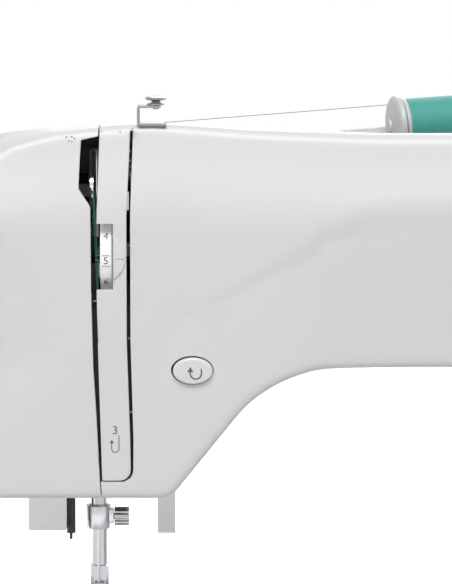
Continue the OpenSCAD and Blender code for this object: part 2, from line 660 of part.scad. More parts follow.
module needle_threader() color(PALE_GREY) {
    bar_z(threader_low - 2, guide_low[1] + 44, threader_x, threader_y, threader_r);
    block([threader_x - 16.4, cover_back + 1, threader_low], [threader_x - threader_r, 1, head_z + 4]);
    bar_x(threader_x - 3, threader_x, threader_y, threader_low + 3, 1.4);
    // Hook that reaches to the needle's eye
    block([threader_x - 0.5, threader_y - 3, threader_low - 4], [threader_x + 0.5, threader_y, threader_low + 2]);
}
module buttonhole_lever() color(PALE_GREY) {
    block([needle_x - 22, frame_back - frame_t - 4, bed_z + 60], [needle_x - 17, frame_back - frame_t - seam, head_z + 46]);
    block([needle_x - 23, 14, bed_z + 60], [needle_x - 16, frame_back - frame_t - 1, bed_z + 64]);
}

// ---------- presser ----------
sole_z = bed_z + 1.6;
sole_t = 2;
ankle_y = 9;
ankle_z = sole_z + 5;
lifter_y = 38;
lifter_z = collar_z - 8;
lifter_r = 4;
module presser_bar() color(STEEL) {
    bar_z(sole_z + 10, guide_high[1] + 14, needle_x, presser_y, presser_r);
    difference() {
        union() {
            bar_z(collar_z, collar_z + 6, needle_x, presser_y, 6);
            block([needle_x - 3, presser_y, collar_z], [needle_x + 3, lifter_y - 4, collar_z + 4]);
        }
        bar_z(collar_z - 1, collar_z + 7, needle_x, presser_y, presser_r - 0.1);
    }
    // Ankle with the foot's cross pin
    block([needle_x - 3.5, 11.6, sole_z + 8], [needle_x + 3.5, presser_y + 3.5, sole_z + 18]);
    difference() {
        block([needle_x - 2, ankle_y - 2.5, ankle_z - 1.6], [needle_x + 2, 13, sole_z + 12]);
        bar_x(needle_x - 3, needle_x + 3, ankle_y, ankle_z, 1.2 + run_fit);
    }
}
spring_low = collar_z + 6 + seam;
spring_high = guide_high[0] - seam;
module presser_spring() color(STEEL) {
    coils = 12;
    pitch = (spring_high - spring_low) / coils;
    difference() {
        bar_z(spring_low, spring_high, needle_x, presser_y, presser_r + 1.3);
        bar_z(spring_low - 1, spring_high + 1, needle_x, presser_y, presser_r + 0.4);
    }
    for (i = [0:coils - 1]) translate([needle_x, presser_y, spring_low + pitch * (i + 0.5)])
        rotate_extrude() translate([presser_r + 1.2, 0]) circle(r = 0.8, $fn = 16);
}
module presser_foot() color(STEEL) {
    difference() {
        across_z(sole_z, sole_z + sole_t) polygon(rounded([[needle_x - 7, cover_back + 0.6, 2.5], [needle_x + 7, cover_back + 0.6, 2.5],
            [needle_x + 7, 13, 1], [needle_x - 7, 13, 1]]));
        block([needle_x - 3, -7, sole_z - 1], [needle_x + 3, 3, sole_z + 3]);
        block([needle_x - 0.9, -13, sole_z - 1], [needle_x + 0.9, -6, sole_z + 3]);
    }
    // Ears and the pin
    for (x = [needle_x - 4, needle_x + 2.4]) block([x, ankle_y - 2.5, sole_z + 1], [x + 1.6, ankle_y + 2.5, ankle_z + 2]);
    bar_x(needle_x - 4, needle_x + 4, ankle_y, ankle_z, 1.2);
}
lifter_x = needle_x + 22.6;
module foot_lifter() color(PALE_GREY) {
    bar_x(needle_x - 17, lifter_x + 7, lifter_y, lifter_z, lifter_r);
    block([needle_x - 3, lifter_y - 7, lifter_z], [needle_x + 3, lifter_y, lifter_z + 2.6]);
    across_x(lifter_x, lifter_x + 7) polygon(rounded([[lifter_y + 4, lifter_z, 1], [lifter_y - 3, lifter_z, 1],
        [lifter_y - 1, lifter_z - 44, 2], [lifter_y + 10, lifter_z - 47, 3], [lifter_y + 8, lifter_z - 38, 8]]));
}

// ---------- bed ----------
module needle_plate() color(STEEL) difference() {
    across_z(bed_z - 2, bed_z) polygon(rounded(needle_plate_plan));
    across_z(bed_z - 3, bed_z + 1) polygon([for (a = [0:15:359]) [needle_x + 3.6 * cos(a), 0.9 * sin(a)]]);
    for (x = feed_x) block([x - 0.6, -4, bed_z - 3], [x + 3.2, 25, bed_z + 1]);
    for (x = [needle_x - 29, needle_x + 25]) bar_z(bed_z - 3, bed_z + 1, x, 24, 1.6);
}
module bobbin_cover() color([0.85, 0.88, 0.9, 0.5]) {
    across_z(bed_z - 2.2, bed_z) polygon(rounded(cover_plan));
    for (i = [0:3]) block([needle_x - 8, -38 + 2.2 * i, bed_z - 0.1], [needle_x + 6, -37 + 2.2 * i, bed_z + 0.4]);
}
feed_x = [needle_x - 6.6, needle_x + 4];
module feed_bar() color(CAST) block([needle_x - 11, 12, rail_z + run_fit], [needle_x + 11, 27, rail_z + 7]);
dog_low = rail_z + 7 + run_fit;
module feed_dog() color(STEEL) {
    block([needle_x - 8, 13, dog_low], [needle_x + 8, 24, dog_low + 4]);
    block([needle_x - 8, 4, bed_z - 9], [needle_x + 8, 24, bed_z - 6]);
    for (x = feed_x) {
        block([x, 3, bed_z - 7], [x + 2.6, 22, bed_z - 2.2]);
        for (i = [0:7]) across_x(x, x + 2.6)
            polygon([[3 + 2.3 * i, bed_z - 2.4], [5.3 + 2.3 * i, bed_z - 2.4], [3 + 2.3 * i, bed_z - 0.8]]);
    }
}
lever_slot = [needle_x - 2, needle_x + 14];
module drop_feed_lever() color(DARK) {
    block([lever_slot[0] + 1, arm_back + seam, 48], [lever_slot[0] + 9, arm_back + 4, 56]);
    block([lever_slot[0] + 3, 27 + seam, 50], [lever_slot[0] + 7, arm_back + 1, 54]);
}

// ---------- hook ----------
gear_z = [lower_z - 5, lower_z + 5];
module toothed(r, h, teeth) difference() {
    cylinder(h = h, r = r);
    for (i = [0:teeth - 1]) rotate([0, 0, 360 * i / teeth]) translate([r, 0, -1])
        cylinder(h = h + 2, r = 3.14 * r / teeth / 2.2, $fn = 8);
}
module lower_shaft() color(STEEL) {
    bar_x(needle_x - 7, timing_x + timing_w + 14, lower_y, lower_z, shaft_r - 1);
    for (x = [lower_lugs[1] - 6.5, lower_lugs[1] + 8]) bar_x(x, x + 4.5, lower_y, lower_z, shaft_r + 2);
}
module lower_gear() color(MID_GREY) translate([needle_x - 6, lower_y, lower_z]) rotate([0, 90, 0]) difference() {
    union() {
        toothed(lower_gear_r, 12, 22);
        cylinder(h = 17, r = 7);
    }
    translate([0, 0, -1]) cylinder(h = 20, r = shaft_r - 1 + fit_bore);
}
module hook_gear() color(MID_GREY) translate([needle_x, hook_y, gear_z[0]]) difference() {
    toothed(hook_gear_r, gear_z[1] - gear_z[0], 11);
    translate([0, 0, -1]) cylinder(h = 20, r = 3 + fit_bore);
}
hook_z = bed_z - 22;
module rotary_hook() color(STEEL) translate([needle_x, hook_y, 0]) difference() {
    union() {
        translate([0, 0, arm_low + 5]) cylinder(h = hook_z - arm_low - 4, r = 3);
        translate([0, 0, hook_z - 5]) cylinder(h = 6, r = 7);
        rotate_extrude() polygon([[0, hook_z], [hook_r - 2, hook_z], [hook_r - 1, hook_z + 2], [hook_r - 1, hook_z + 12],
            [hook_r - 2.4, hook_z + 12], [hook_r - 2.4, hook_z + 2], [0, hook_z + 2]]);
        // Hook point
        intersection() {
            rotate_extrude() polygon([[hook_r - 1.2, hook_z + 6], [hook_r, hook_z + 6], [hook_r, hook_z + 9],
                [hook_r - 1.2, hook_z + 9]]);
            block([0, 0, hook_z], [hook_r + 1, hook_r + 1, hook_z + 12]);
        }
    }
    rotate([0, 0, 60]) block([hook_r - 4, 0, hook_z + 3], [hook_r + 2, 3, hook_z + 13]);
}
case_r = hook_r - 2.8;
module bobbin_case() color(DARK) translate([needle_x, hook_y, 0]) {
    rotate_extrude() polygon([[2, hook_z + 2.4], [case_r, hook_z + 2.4], [case_r, hook_z + 14], [case_r - 1.2, hook_z + 14],
        [case_r - 1.2, hook_z + 3.6], [2, hook_z + 3.6]]);
    // Stopper arm against the plate
    block([-3, case_r - 2.2, hook_z + 13], [3, case_r + 1.5, hook_z + 16]);
}
module bobbin() color([0.85, 0.88, 0.9, 0.6]) translate([needle_x, hook_y, hook_z + 3.8]) rotate_extrude()
    polygon([[3, 0], [bobbin_r, 0], [bobbin_r, 1], [4.5, 1], [4.5, bobbin_h - 1], [bobbin_r, bobbin_h - 1],
        [bobbin_r, bobbin_h], [3, bobbin_h]]);

// ---------- accessory tray ----------
tray_top = bed_z - seam;
tray_back = arm_front - seam;
tray_plan = [[tray_left, base_front, 14], [pillar_left - seam, base_front, 0], [pillar_left - seam, tray_back, 0],
    [arm_left - seam, tray_back, 12], [arm_left - seam, arm_back, 0], [tray_left, arm_back, 5]];
tray_low = foot_h + 1.5;
tray_hollow = [tray_left + 12, base_front + wall, pillar_left - 10, tray_back - 5.5];
lid_t = 2.2;
module tray_area(d) polygon(rounded([[tray_hollow[0] - d, tray_hollow[1] - d, 4],
    [tray_hollow[2] + d, tray_hollow[1] - d, 4], [tray_hollow[2] + d, tray_hollow[3] + d, 1],
    [tray_hollow[0] - d, tray_hollow[3] + d, 1]]));
module accessory_tray() color(WHITE) difference() {
    across_z(tray_low, tray_top) polygon(rounded(tray_plan));
    across_z(tray_low + wall, bed_z + 1) tray_area(0);
    across_z(tray_top - lid_t - seam, bed_z + 1) tray_area(1.2);
    // Hinge pocket and the bores of the lid's pins
    block([tray_hollow[0] - 1.8, tray_hollow[3] - 1.7, tray_top - 5.2], [tray_hollow[2] + 1.8, tray_hollow[3] + 4.1, bed_z + 1]);
    bar_x(tray_hollow[0] - 4, tray_hollow[2] + 4, hinge_y, hinge_z, 1 + run_fit);
}
hinge_y = tray_hollow[3] + 1.4;
hinge_z = tray_top - 2.4;
module tray_lid() color(WHITE) {
    across_z(tray_top - lid_t, tray_top) difference() {
        tray_area(1.2 - seam);
        translate([(tray_hollow[0] + tray_hollow[2]) / 2 - 12, tray_hollow[1] - 3]) square([24, 2.4]);
    }
    bar_x(tray_hollow[0] + 1, tray_hollow[2] - 1, hinge_y, hinge_z, 1.8);
    bar_x(tray_hollow[0] - 3.5, tray_hollow[2] + 3.5, hinge_y, hinge_z, 1);
}

// ---------- controls ----------
stud_r = 1.8;
module tension_dial() color(WHITE) difference() {
    bar_x(dial_x - dial_w / 2, dial_x + dial_w / 2, dial_y, dial_z, dial_r);
    bar_x(dial_x - dial_w, dial_x + dial_w, dial_y, dial_z, stud_r + run_fit);
    for (a = [0:12:359]) translate([0, dial_y, dial_z]) rotate([a, 0, 0])
        bar_x(dial_x - dial_w, dial_x + dial_w, dial_r + 0.15, 0, 0.35);
}
module tension_discs() color(STEEL) {
    bar_x(dial_x - dial_w / 2 - 2, upper_walls[0], dial_y, dial_z, stud_r);
    for (x = [dial_x + dial_w / 2 + 0.6, dial_x + dial_w / 2 + 2])
        bar_x(x, x + 0.8, dial_y, dial_z, 6.5);
    bar_x(dial_x + dial_w / 2 + 3.4, needle_x + 20, dial_y, dial_z, 3.6);
}
switch_front = frame_front - 6.2;
module reverse_button() color(WHITE) {
    ellipse_y(front_y - 1.6, front_y + 5, reverse_w, reverse_h, reverse_x, reverse_z);
    // Stem that stops its travel short of the switch
    bar_y(front_y + 4, switch_front - seam - reverse_travel, reverse_x, reverse_z, 2.5);
}
module circuit_board() color([0.1, 0.35, 0.2]) {
    // Switch behind the reverse button, on a carrier that reaches the frame
    block([reverse_x - 8, frame_front - 4.5, reverse_z - 6], [reverse_x + 8, frame_front - 3, reverse_z + 11]);
    block([reverse_x - 3, switch_front, reverse_z - 3], [reverse_x + 3, frame_front - 4.4, reverse_z + 3]);
    for (x = [reverse_x - 6, reverse_x + 6]) bar_y(frame_front - 3.1, frame_front - run_fit, x, frame_z - 1.3, 1.2);
}
module dial(r, x, z, stem) {
    front = front_y - skirt_at(z) - seam;
    bar_y(front - 4, front, x, z, r);
    difference() {
        bar_y(front - 13, front - 3.9, x, z, r * 0.72);
        for (a = [0:20:359]) translate([x, 0, z]) rotate([0, a, 0])
            bar_y(front - 14, front - 4.2, r * 0.72 + 1, 0, 1.7);
    }
    bar_y(front - 0.1, front_y + 12, x, z, stem);
}
// How far the flared pillar stands in front of the head at height z
function skirt_at(z) = z > head_z + 5 ? 9.6 : 9.8 + (head_z + 5 - z) / 66 * 8;
module pattern_dial() color(WHITE) dial(pattern_r, pattern_x, pattern_z, 6);
module length_dial() color(WHITE) dial(length_r, pattern_x, length_z, 5);

// ---------- thread path on top ----------
guide_top = top_z + 9;
module thread_guide() color(STEEL) {
    // Bent strip: foot, leg and upper flange
    block([guide_x - 1.2, guide_y - 3, top_z - 0.1], [guide_x + 10.5, guide_y + 3, top_z + 0.9]);
    block([guide_x - 1.2, guide_y - 3, top_z], [guide_x, guide_y + 3, guide_top]);
    difference() {
        block([guide_x - 1.2, guide_y - 3, guide_top - 1], [guide_x + 8.4, guide_y + 3, guide_top]);
        bar_z(guide_top - 2, guide_top + 1, guide_x + 6, guide_y, 1.2);
    }
    // Grooved stud
    translate([guide_x + 6, guide_y, 0]) rotate_extrude() polygon([[0, guide_top - 1.6], [1.15, guide_top - 1.6],
        [1.15, guide_top], [3.4, guide_top], [3.4, guide_top + 0.6], [1.6, guide_top + 1.1], [1.6, guide_top + 1.7],
        [4, guide_top + 2], [4.1, guide_top + 2.9], [3.4, guide_top + 3.3], [0, guide_top + 3.3]]);
}
module spool_pin() color(PALE_GREY) difference() {
    on_spool_axis() {
        bar_x(-4.5, spool_l + 9.5, 0, 0, pin_r);
        bar_x(spool_l + 2, spool_l + 4, 0, 0, 8);
        // Socket that stands on the hollow's floor
        block([spool_l + 3.8, -5, hollow_z - spool_z - 8], [spool_l + 10, 5, pin_r + 1]);
    }
    across_z(hollow_z - 20, hollow_z) translate([spool_x, spool_y - 20]) square([spool_l + 40, 80]);
}
module spool() color(TEAL) on_spool_axis() difference() {
    union() {
        bar_x(0.6, 2.2, 0, 0, spool_r + 0.4);
        bar_x(2.1, spool_l - 1, 0, 0, spool_r);
        bar_x(spool_l - 1.2, spool_l + 1.4, 0, 0, spool_r + 0.4);
    }
    bar_x(-1, spool_l + 3, 0, 0, pin_r + gap);
}
module spool_cap() color(PALE_GREY) on_spool_axis() difference() {
    rotate([0, 90, 0]) rotate_extrude() polygon([[0, -3], [pin_r + 1.2, -3], [cap_r - 1.5, -1.6], [cap_r, -0.6],
        [cap_r, 0.1], [0, 0.1]]);
    bar_x(-6, 2, 0, 0, pin_r + run_fit);
}
module winder_slot() bar_z(top_z - 30, top_z + 10, winder_x, winder_y, 4);
module bobbin_winder() color(PALE_GREY) {
    bar_z(frame_top + seam, top_z + 15, winder_x, winder_y, 2.9);
    bar_z(top_z + 2, top_z + 4, winder_x, winder_y, 7);
}
handle_x = [pillar_left - 54, pillar_left + 66];
handle_z = 246;
handle_drop = 34;
handle_t = 7;
handle_y = back_y + gap + handle_t / 2;
module carry_handle() color(WHITE) {
    near = back_y + gap;
    for (x = handle_x) {
        bar_x(x - 6, x + 6, handle_y, handle_z, handle_t / 2);
        block([x - 6, near, handle_z - handle_drop], [x + 6, near + handle_t, handle_z]);
    }
    bar_x(handle_x[0] - 10, handle_x[0], handle_y, handle_z, 2.5);
    bar_x(handle_x[1], handle_x[1] + 10, handle_y, handle_z, 2.5);
    across_x(handle_x[0] - 6, handle_x[1] + 6) polygon(rounded([[near, handle_z - handle_drop - 14, 4],
        [near + handle_t + 3, handle_z - handle_drop - 14, 4], [near + handle_t + 3, handle_z - handle_drop + 3, 4],
        [near, handle_z - handle_drop + 3, 2]]));
}
module switch_hole() block([pillar_right - wall - 1, -12, 34], [pillar_right + 1, 12, 50]);
module power_switch() color(DARK) block([pillar_right - wall - 4, -12 + seam, 34.9], [pillar_right + 1.5, 12 - seam, 49.1]);
module thread() color(TEAL) {
    from = [spool_x, spool_y, spool_z + cap_r + 0.2 + thread_d / 2];
    to = [guide_x + 9.5, guide_y, top_z + 1.1 + thread_d / 2];
    translate(to) rotate([0, acos((from - to)[2] / norm(from - to)), atan2((from - to)[1], (from - to)[0])])
        cylinder(h = norm(from - to), r = thread_d / 2, $fn = 8);
}

front_cover();
rear_cover();
face_cover();
thread_strip();
top_cover();
base_shell();
base_plate();
rubber_feet();
free_arm_shell();
main_frame();
shaft_bushes();
upper_shaft();
handwheel();
needle_crank();
needle_link();
timing_pulley_upper();
timing_pulley_lower();
timing_belt();
lower_shaft();
lower_gear();
hook_gear();
rotary_hook();
bobbin_case();
bobbin();
motor();
motor_pulley();
driven_pulley();
motor_belt();
needle_bar();
needle_clamp();
clamp_screw();
needle();
take_up_lever();
needle_threader();
buttonhole_lever();
presser_bar();
presser_spring();
presser_foot();
foot_lifter();
needle_plate();
bobbin_cover();
feed_bar();
feed_dog();
drop_feed_lever();
accessory_tray();
tray_lid();
tension_dial();
tension_discs();
reverse_button();
pattern_dial();
length_dial();
thread_guide();
spool_pin();
spool();
spool_cap();
bobbin_winder();
carry_handle();
power_switch();
circuit_board();
thread();
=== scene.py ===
# Free-arm sewing machine: looks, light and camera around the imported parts
import json
import math
import bpy
import bmesh
from mathutils import Matrix, Vector
from mathutils.bvhtree import BVHTree


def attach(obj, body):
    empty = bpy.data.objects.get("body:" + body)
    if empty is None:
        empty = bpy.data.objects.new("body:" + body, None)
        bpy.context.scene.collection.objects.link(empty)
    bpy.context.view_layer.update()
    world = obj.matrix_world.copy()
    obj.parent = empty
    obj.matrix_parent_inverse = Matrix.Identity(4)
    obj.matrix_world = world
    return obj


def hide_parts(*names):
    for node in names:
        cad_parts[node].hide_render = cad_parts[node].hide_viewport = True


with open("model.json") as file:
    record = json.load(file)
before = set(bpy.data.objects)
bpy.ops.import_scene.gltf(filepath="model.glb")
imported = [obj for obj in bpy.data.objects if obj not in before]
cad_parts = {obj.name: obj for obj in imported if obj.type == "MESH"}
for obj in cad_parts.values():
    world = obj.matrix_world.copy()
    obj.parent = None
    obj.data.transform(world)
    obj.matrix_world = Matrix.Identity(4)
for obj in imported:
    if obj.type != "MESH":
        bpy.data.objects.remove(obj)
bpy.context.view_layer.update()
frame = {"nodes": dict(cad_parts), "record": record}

mm = 0.001
print("stage: frame loaded")

# Camera
camera = {"target": (-86.0, -52.0, 222.0), "distance": 1500, "elevation": 8.0, "viewHeight": 219.6,
          "sensor": 36, "farClip": 50}


def makeCamera():
    data = bpy.data.cameras.new("camera")
    data.sensor_width = camera["sensor"]
    data.lens = camera["sensor"] * camera["distance"] / camera["viewHeight"]
    obj = bpy.data.objects.new("camera", data)
    bpy.context.collection.objects.link(obj)
    tilt = math.radians(camera["elevation"])
    back = Vector((0, -math.cos(tilt), math.sin(tilt)))
    obj.location = (Vector(camera["target"]) + back * camera["distance"]) * mm
    obj.rotation_mode = "QUATERNION"
    obj.rotation_quaternion = (-back).to_track_quat("-Z", "Y")
    data.clip_end = camera["farClip"]
    bpy.context.scene.camera = obj


makeCamera()

# Mesh helpers


def newObject(name, bm):
    mesh = bpy.data.meshes.new(name)
    bm.to_mesh(mesh)
    bm.free()
    obj = bpy.data.objects.new(name, mesh)
    bpy.context.collection.objects.link(obj)
    return obj


def applyModifiers(obj):
    graph = bpy.context.evaluated_depsgraph_get()
    mesh = bpy.data.meshes.new_from_object(obj.evaluated_get(graph))
    obj.modifiers.clear()
    obj.data = mesh
    return obj


def boolean(obj, other, operation="DIFFERENCE", solver="MANIFOLD"):
    mod = obj.modifiers.new("cut", "BOOLEAN")
    mod.operation = operation
    mod.object = other
    mod.solver = solver
    applyModifiers(obj)
    bpy.data.objects.remove(other)


def copyOf(obj, name):
    other = obj.copy()
    other.data = obj.data.copy()
    other.name = name
    bpy.context.collection.objects.link(other)
    return other


def smoothShade(obj, angle=32):
    for polygon in obj.data.polygons:
        polygon.use_smooth = True
    obj.data.set_sharp_from_angle(angle=math.radians(angle))


def outward(bm):
    bmesh.ops.recalc_face_normals(bm, faces=list(bm.faces))


# A closed prism between two depths; corners are (a, b, radius)
def prism(name, corners, axis, low, high):
    bm = bmesh.new()
    place = {"x": lambda a, b, c: (c, a, b), "y": lambda a, b, c: (a, c, b),
             "z": lambda a, b, c: (a, b, c)}[axis]
    verts = [bm.verts.new(Vector(place(a, b, low)) * mm) for a, b, r in corners]
    bm.faces.new(verts)
    count = len(corners)
    for i, (a, b, radius) in enumerate(corners):
        if radius <= 0:
            continue
        here = Vector((a, b))
        before = (Vector(corners[i - 1][:2]) - here).normalized()
        after = (Vector(corners[(i + 1) % count][:2]) - here).normalized()
        half = math.acos(max(-1, min(1, before.dot(after)))) / 2
        bmesh.ops.bevel(bm, geom=[verts[i]], offset=radius / math.tan(half) * mm, offset_type="OFFSET",
                        segments=max(3, int(radius ** 0.5 * 2)), profile=0.5, affect="VERTICES", material=-1)
    step = Vector(place(0, 0, high - low)) * mm
    out = bmesh.ops.extrude_face_region(bm, geom=list(bm.faces))
    bmesh.ops.translate(bm, verts=[v for v in out["geom"] if isinstance(v, bmesh.types.BMVert)], vec=step)
    outward(bm)
    return newObject(name, bm)


def shiftAll(bm, step):
    bmesh.ops.translate(bm, verts=list(bm.verts), vec=step)


def turnAll(bm, degrees, axis):
    turn = Matrix.Rotation(math.radians(degrees), 3, axis)
    bmesh.ops.rotate(bm, verts=list(bm.verts), matrix=turn)


def block(name, low, high):
    bm = bmesh.new()
    bmesh.ops.create_cube(bm, size=1)
    size = [(h - l) * mm for l, h in zip(low, high)]
    bmesh.ops.scale(bm, verts=list(bm.verts), vec=size)
    shiftAll(bm, [(h + l) / 2 * mm for l, h in zip(low, high)])
    return newObject(name, bm)


def rod(name, start, end, radius, segments=48):
    bm = bmesh.new()
    a, b = Vector(start) * mm, Vector(end) * mm
    bmesh.ops.create_cone(bm, cap_ends=True, segments=segments, radius1=radius * mm, radius2=radius * mm,
                          depth=(b - a).length)
    turn = (b - a).to_track_quat("Z", "Y").to_matrix().to_4x4()
    bmesh.ops.transform(bm, matrix=Matrix.Translation((a + b) / 2) @ turn, verts=list(bm.verts))
    return newObject(name, bm)


def ellipse(name, x, z, wide, high, low, top, segments=96):
    bm = bmesh.new()
    bmesh.ops.create_cone(bm, cap_ends=True, segments=segments, radius1=mm, radius2=mm,
                          depth=(top - low) * mm)
    turnAll(bm, 90, "X")
    bmesh.ops.scale(bm, verts=list(bm.verts), vec=(wide, 1, high))
    shiftAll(bm, Vector((x, (low + top) / 2, z)) * mm)
    outward(bm)
    return newObject(name, bm)


# The mesh of a curve or text that is needed only once
def meshOf(data):
    obj = bpy.data.objects.new(data.name, data)
    bpy.context.collection.objects.link(obj)
    mesh = bpy.data.meshes.new_from_object(obj.evaluated_get(bpy.context.evaluated_depsgraph_get()))
    bpy.data.objects.remove(obj)
    return mesh


def smoothStep(t):
    t = max(0.0, min(1.0, t))
    return t * t * (3 - 2 * t)


def between(value, table):
    # Straight interpolation in a short table of (position, value)
    if value <= table[0][0]:
        return table[0][1]
    for (a, va), (b, vb) in zip(table, table[1:]):
        if value <= b:
            return va + (vb - va) * (value - a) / (b - a)
    return table[-1][1]


# Finishes
def nodeGroup(name, inputs, outputs):
    tree = bpy.data.node_groups.new(name, "ShaderNodeTree")
    for label, kind, value in inputs:
        socket = tree.interface.new_socket(name=label, in_out="INPUT", socket_type="NodeSocket" + kind)
        socket.default_value = value
    for label, kind in outputs:
        tree.interface.new_socket(name=label, in_out="OUTPUT", socket_type="NodeSocket" + kind)
    return tree, tree.nodes.new("NodeGroupInput"), tree.nodes.new("NodeGroupOutput")


def noiseNode(tree, vector, scale, detail):
    noise = tree.nodes.new("ShaderNodeTexNoise")
    noise.inputs["Detail"].default_value = detail
    tree.links.new(vector, noise.inputs["Vector"])
    tree.links.new(scale, noise.inputs["Scale"])
    return noise


def rangeNode(tree, value, low, high):
    node = tree.nodes.new("ShaderNodeMapRange")
    tree.links.new(value, node.inputs["Value"])
    tree.links.new(low, node.inputs["To Min"])
    tree.links.new(high, node.inputs["To Max"])
    return node.outputs["Result"]


def makeGrainGroup():
    # Fine surface grain, slow drift of colour and gloss; stretch squeezes the grain into lines
    tree, source, sink = nodeGroup("surfaceGrain", [
        ("colour", "Color", (0.8, 0.8, 0.8, 1)), ("driftColour", "Color", (0.75, 0.75, 0.75, 1)),
        ("driftScale", "Float", 12), ("grainScale", "Float", 900), ("grainDepth", "Float", 0.1),
        ("glossLow", "Float", 0.25), ("glossHigh", "Float", 0.35), ("stretch", "Vector", (1, 1, 1))],
        [("colour", "Color"), ("roughness", "Float"), ("normal", "Vector")])
    place = tree.nodes.new("ShaderNodeTexCoord")
    scaled = tree.nodes.new("ShaderNodeVectorMath")
    scaled.operation = "MULTIPLY"
    tree.links.new(place.outputs["Object"], scaled.inputs[0])
    tree.links.new(source.outputs["stretch"], scaled.inputs[1])
    slow = noiseNode(tree, place.outputs["Object"], source.outputs["driftScale"], 3)
    fine = noiseNode(tree, scaled.outputs[0], source.outputs["grainScale"], 4)
    mix = tree.nodes.new("ShaderNodeMix")
    mix.data_type = "RGBA"
    tree.links.new(slow.outputs["Fac"], mix.inputs["Factor"])
    tree.links.new(source.outputs["colour"], mix.inputs["A"])
    tree.links.new(source.outputs["driftColour"], mix.inputs["B"])
    rough = rangeNode(tree, slow.outputs["Fac"], source.outputs["glossLow"], source.outputs["glossHigh"])
    bump = tree.nodes.new("ShaderNodeBump")
    bump.inputs["Distance"].default_value = 0.00004
    tree.links.new(source.outputs["grainDepth"], bump.inputs["Strength"])
    tree.links.new(fine.outputs["Fac"], bump.inputs["Height"])
    tree.links.new(mix.outputs["Result"], sink.inputs["colour"])
    tree.links.new(rough, sink.inputs["roughness"])
    tree.links.new(bump.outputs["Normal"], sink.inputs["normal"])
    return tree


grainGroup = makeGrainGroup()
# name: colour, drift colour, gloss range, grain scale, grain depth, metallic, coat, stretch
finishes = {
    "whitePlastic": ((0.752, 0.722, 0.717), (0.745, 0.715, 0.71), (0.36, 0.38), 1400, 0.06, 0, 0.05),
    # near-black: painted shade on the inside faces of the white shells and on the plate behind the slots
    "paintedShadeInside": ((0.012, 0.012, 0.013), (0.02, 0.02, 0.021), (0.5, 0.65), 800, 0.2, 0, 0),
    "buttonPlastic": ((0.77, 0.75, 0.745), (0.76, 0.74, 0.735), (0.24, 0.27), 1200, 0.05, 0, 0.2),
    # pale plastic, lighter than the shells and glowing a little: painted light on the tension dial and on the
    # parts that sit in shade under the head
    "paintedLightPlastic": ((0.88, 0.875, 0.87), (0.85, 0.845, 0.84), (0.4, 0.5), 1200, 0.05, 0, 0),
    "paleGreyPlastic": ((0.52, 0.51, 0.49), (0.48, 0.47, 0.45), (0.38, 0.48), 1000, 0.15, 0, 0),
    "capPlastic": ((0.66, 0.65, 0.64), (0.61, 0.6, 0.59), (0.3, 0.4), 1000, 0.1, 0, 0.05),
    "darkPlastic": ((0.03, 0.03, 0.032), (0.045, 0.045, 0.048), (0.4, 0.55), 900, 0.25, 0, 0),
    "gearNylon": ((0.22, 0.22, 0.23), (0.18, 0.18, 0.19), (0.45, 0.55), 900, 0.2, 0, 0),
    # dark metal made near-black as painted shade for the frame seen through the slots
    "paintedShadeAlloy": ((0.055, 0.056, 0.06), (0.03, 0.031, 0.033), (0.42, 0.6), 700, 0.8, 0.5, 0),
    "motorSteel": ((0.32, 0.33, 0.35), (0.26, 0.27, 0.29), (0.35, 0.5), 800, 0.3, 0.9, 0, (0.1, 1, 1)),
    "groundSteel": ((0.62, 0.63, 0.65), (0.52, 0.53, 0.55), (0.24, 0.36), 900, 0.35, 1, 0, (0.08, 1, 1)),
    "turnedSteel": ((0.62, 0.63, 0.65), (0.54, 0.55, 0.57), (0.2, 0.32), 900, 0.3, 1, 0, (1, 1, 0.08)),
    "chrome": ((0.74, 0.75, 0.77), (0.66, 0.67, 0.69), (0.06, 0.12), 300, 0.03, 1, 0),
    "studSteel": ((0.4, 0.4, 0.41), (0.3, 0.3, 0.31), (0.12, 0.2), 500, 0.05, 1, 0),
    "sinteredBronze": ((0.5, 0.32, 0.15), (0.4, 0.25, 0.11), (0.3, 0.45), 1200, 0.4, 1, 0),
    "rubber": ((0.02, 0.02, 0.02), (0.03, 0.03, 0.03), (0.6, 0.75), 900, 0.5, 0, 0),
    "boardMask": ((0.01, 0.09, 0.04), (0.015, 0.12, 0.05), (0.3, 0.4), 500, 0.1, 0, 0.2),
    "clearPlastic": ((0.9, 0.93, 0.94), (0.86, 0.9, 0.92), (0.06, 0.12), 600, 0.03, 0, 0),
    "greyInk": ((0.08, 0.08, 0.085), (0.12, 0.12, 0.125), (0.45, 0.55), 900, 0.1, 0, 0),
    "tealThread": ((0.085, 0.42, 0.36), (0.06, 0.34, 0.285), (0.42, 0.6), 5000, 1.0, 0, 0, (0.35, 1, 1)),
}


def makeFinish(name, colour, drift, gloss, grainScale, depth, metallic, coat, stretch=(1, 1, 1)):
    material = bpy.data.materials.new(name)
    material.use_nodes = True
    tree = material.node_tree
    shader = tree.nodes["Principled BSDF"]
    shader.inputs["Metallic"].default_value = metallic
    shader.inputs["Coat Weight"].default_value = coat
    grain = tree.nodes.new("ShaderNodeGroup")
    grain.node_tree = grainGroup
    grain.inputs["colour"].default_value = colour + (1,)
    grain.inputs["driftColour"].default_value = drift + (1,)
    grain.inputs["glossLow"].default_value, grain.inputs["glossHigh"].default_value = gloss
    grain.inputs["grainScale"].default_value = grainScale
    grain.inputs["grainDepth"].default_value = depth
    grain.inputs["stretch"].default_value = stretch
    tree.links.new(grain.outputs["colour"], shader.inputs["Base Color"])
    tree.links.new(grain.outputs["roughness"], shader.inputs["Roughness"])
    tree.links.new(grain.outputs["normal"], shader.inputs["Normal"])
    return material


materials = {name: makeFinish(name, *values) for name, values in finishes.items()}
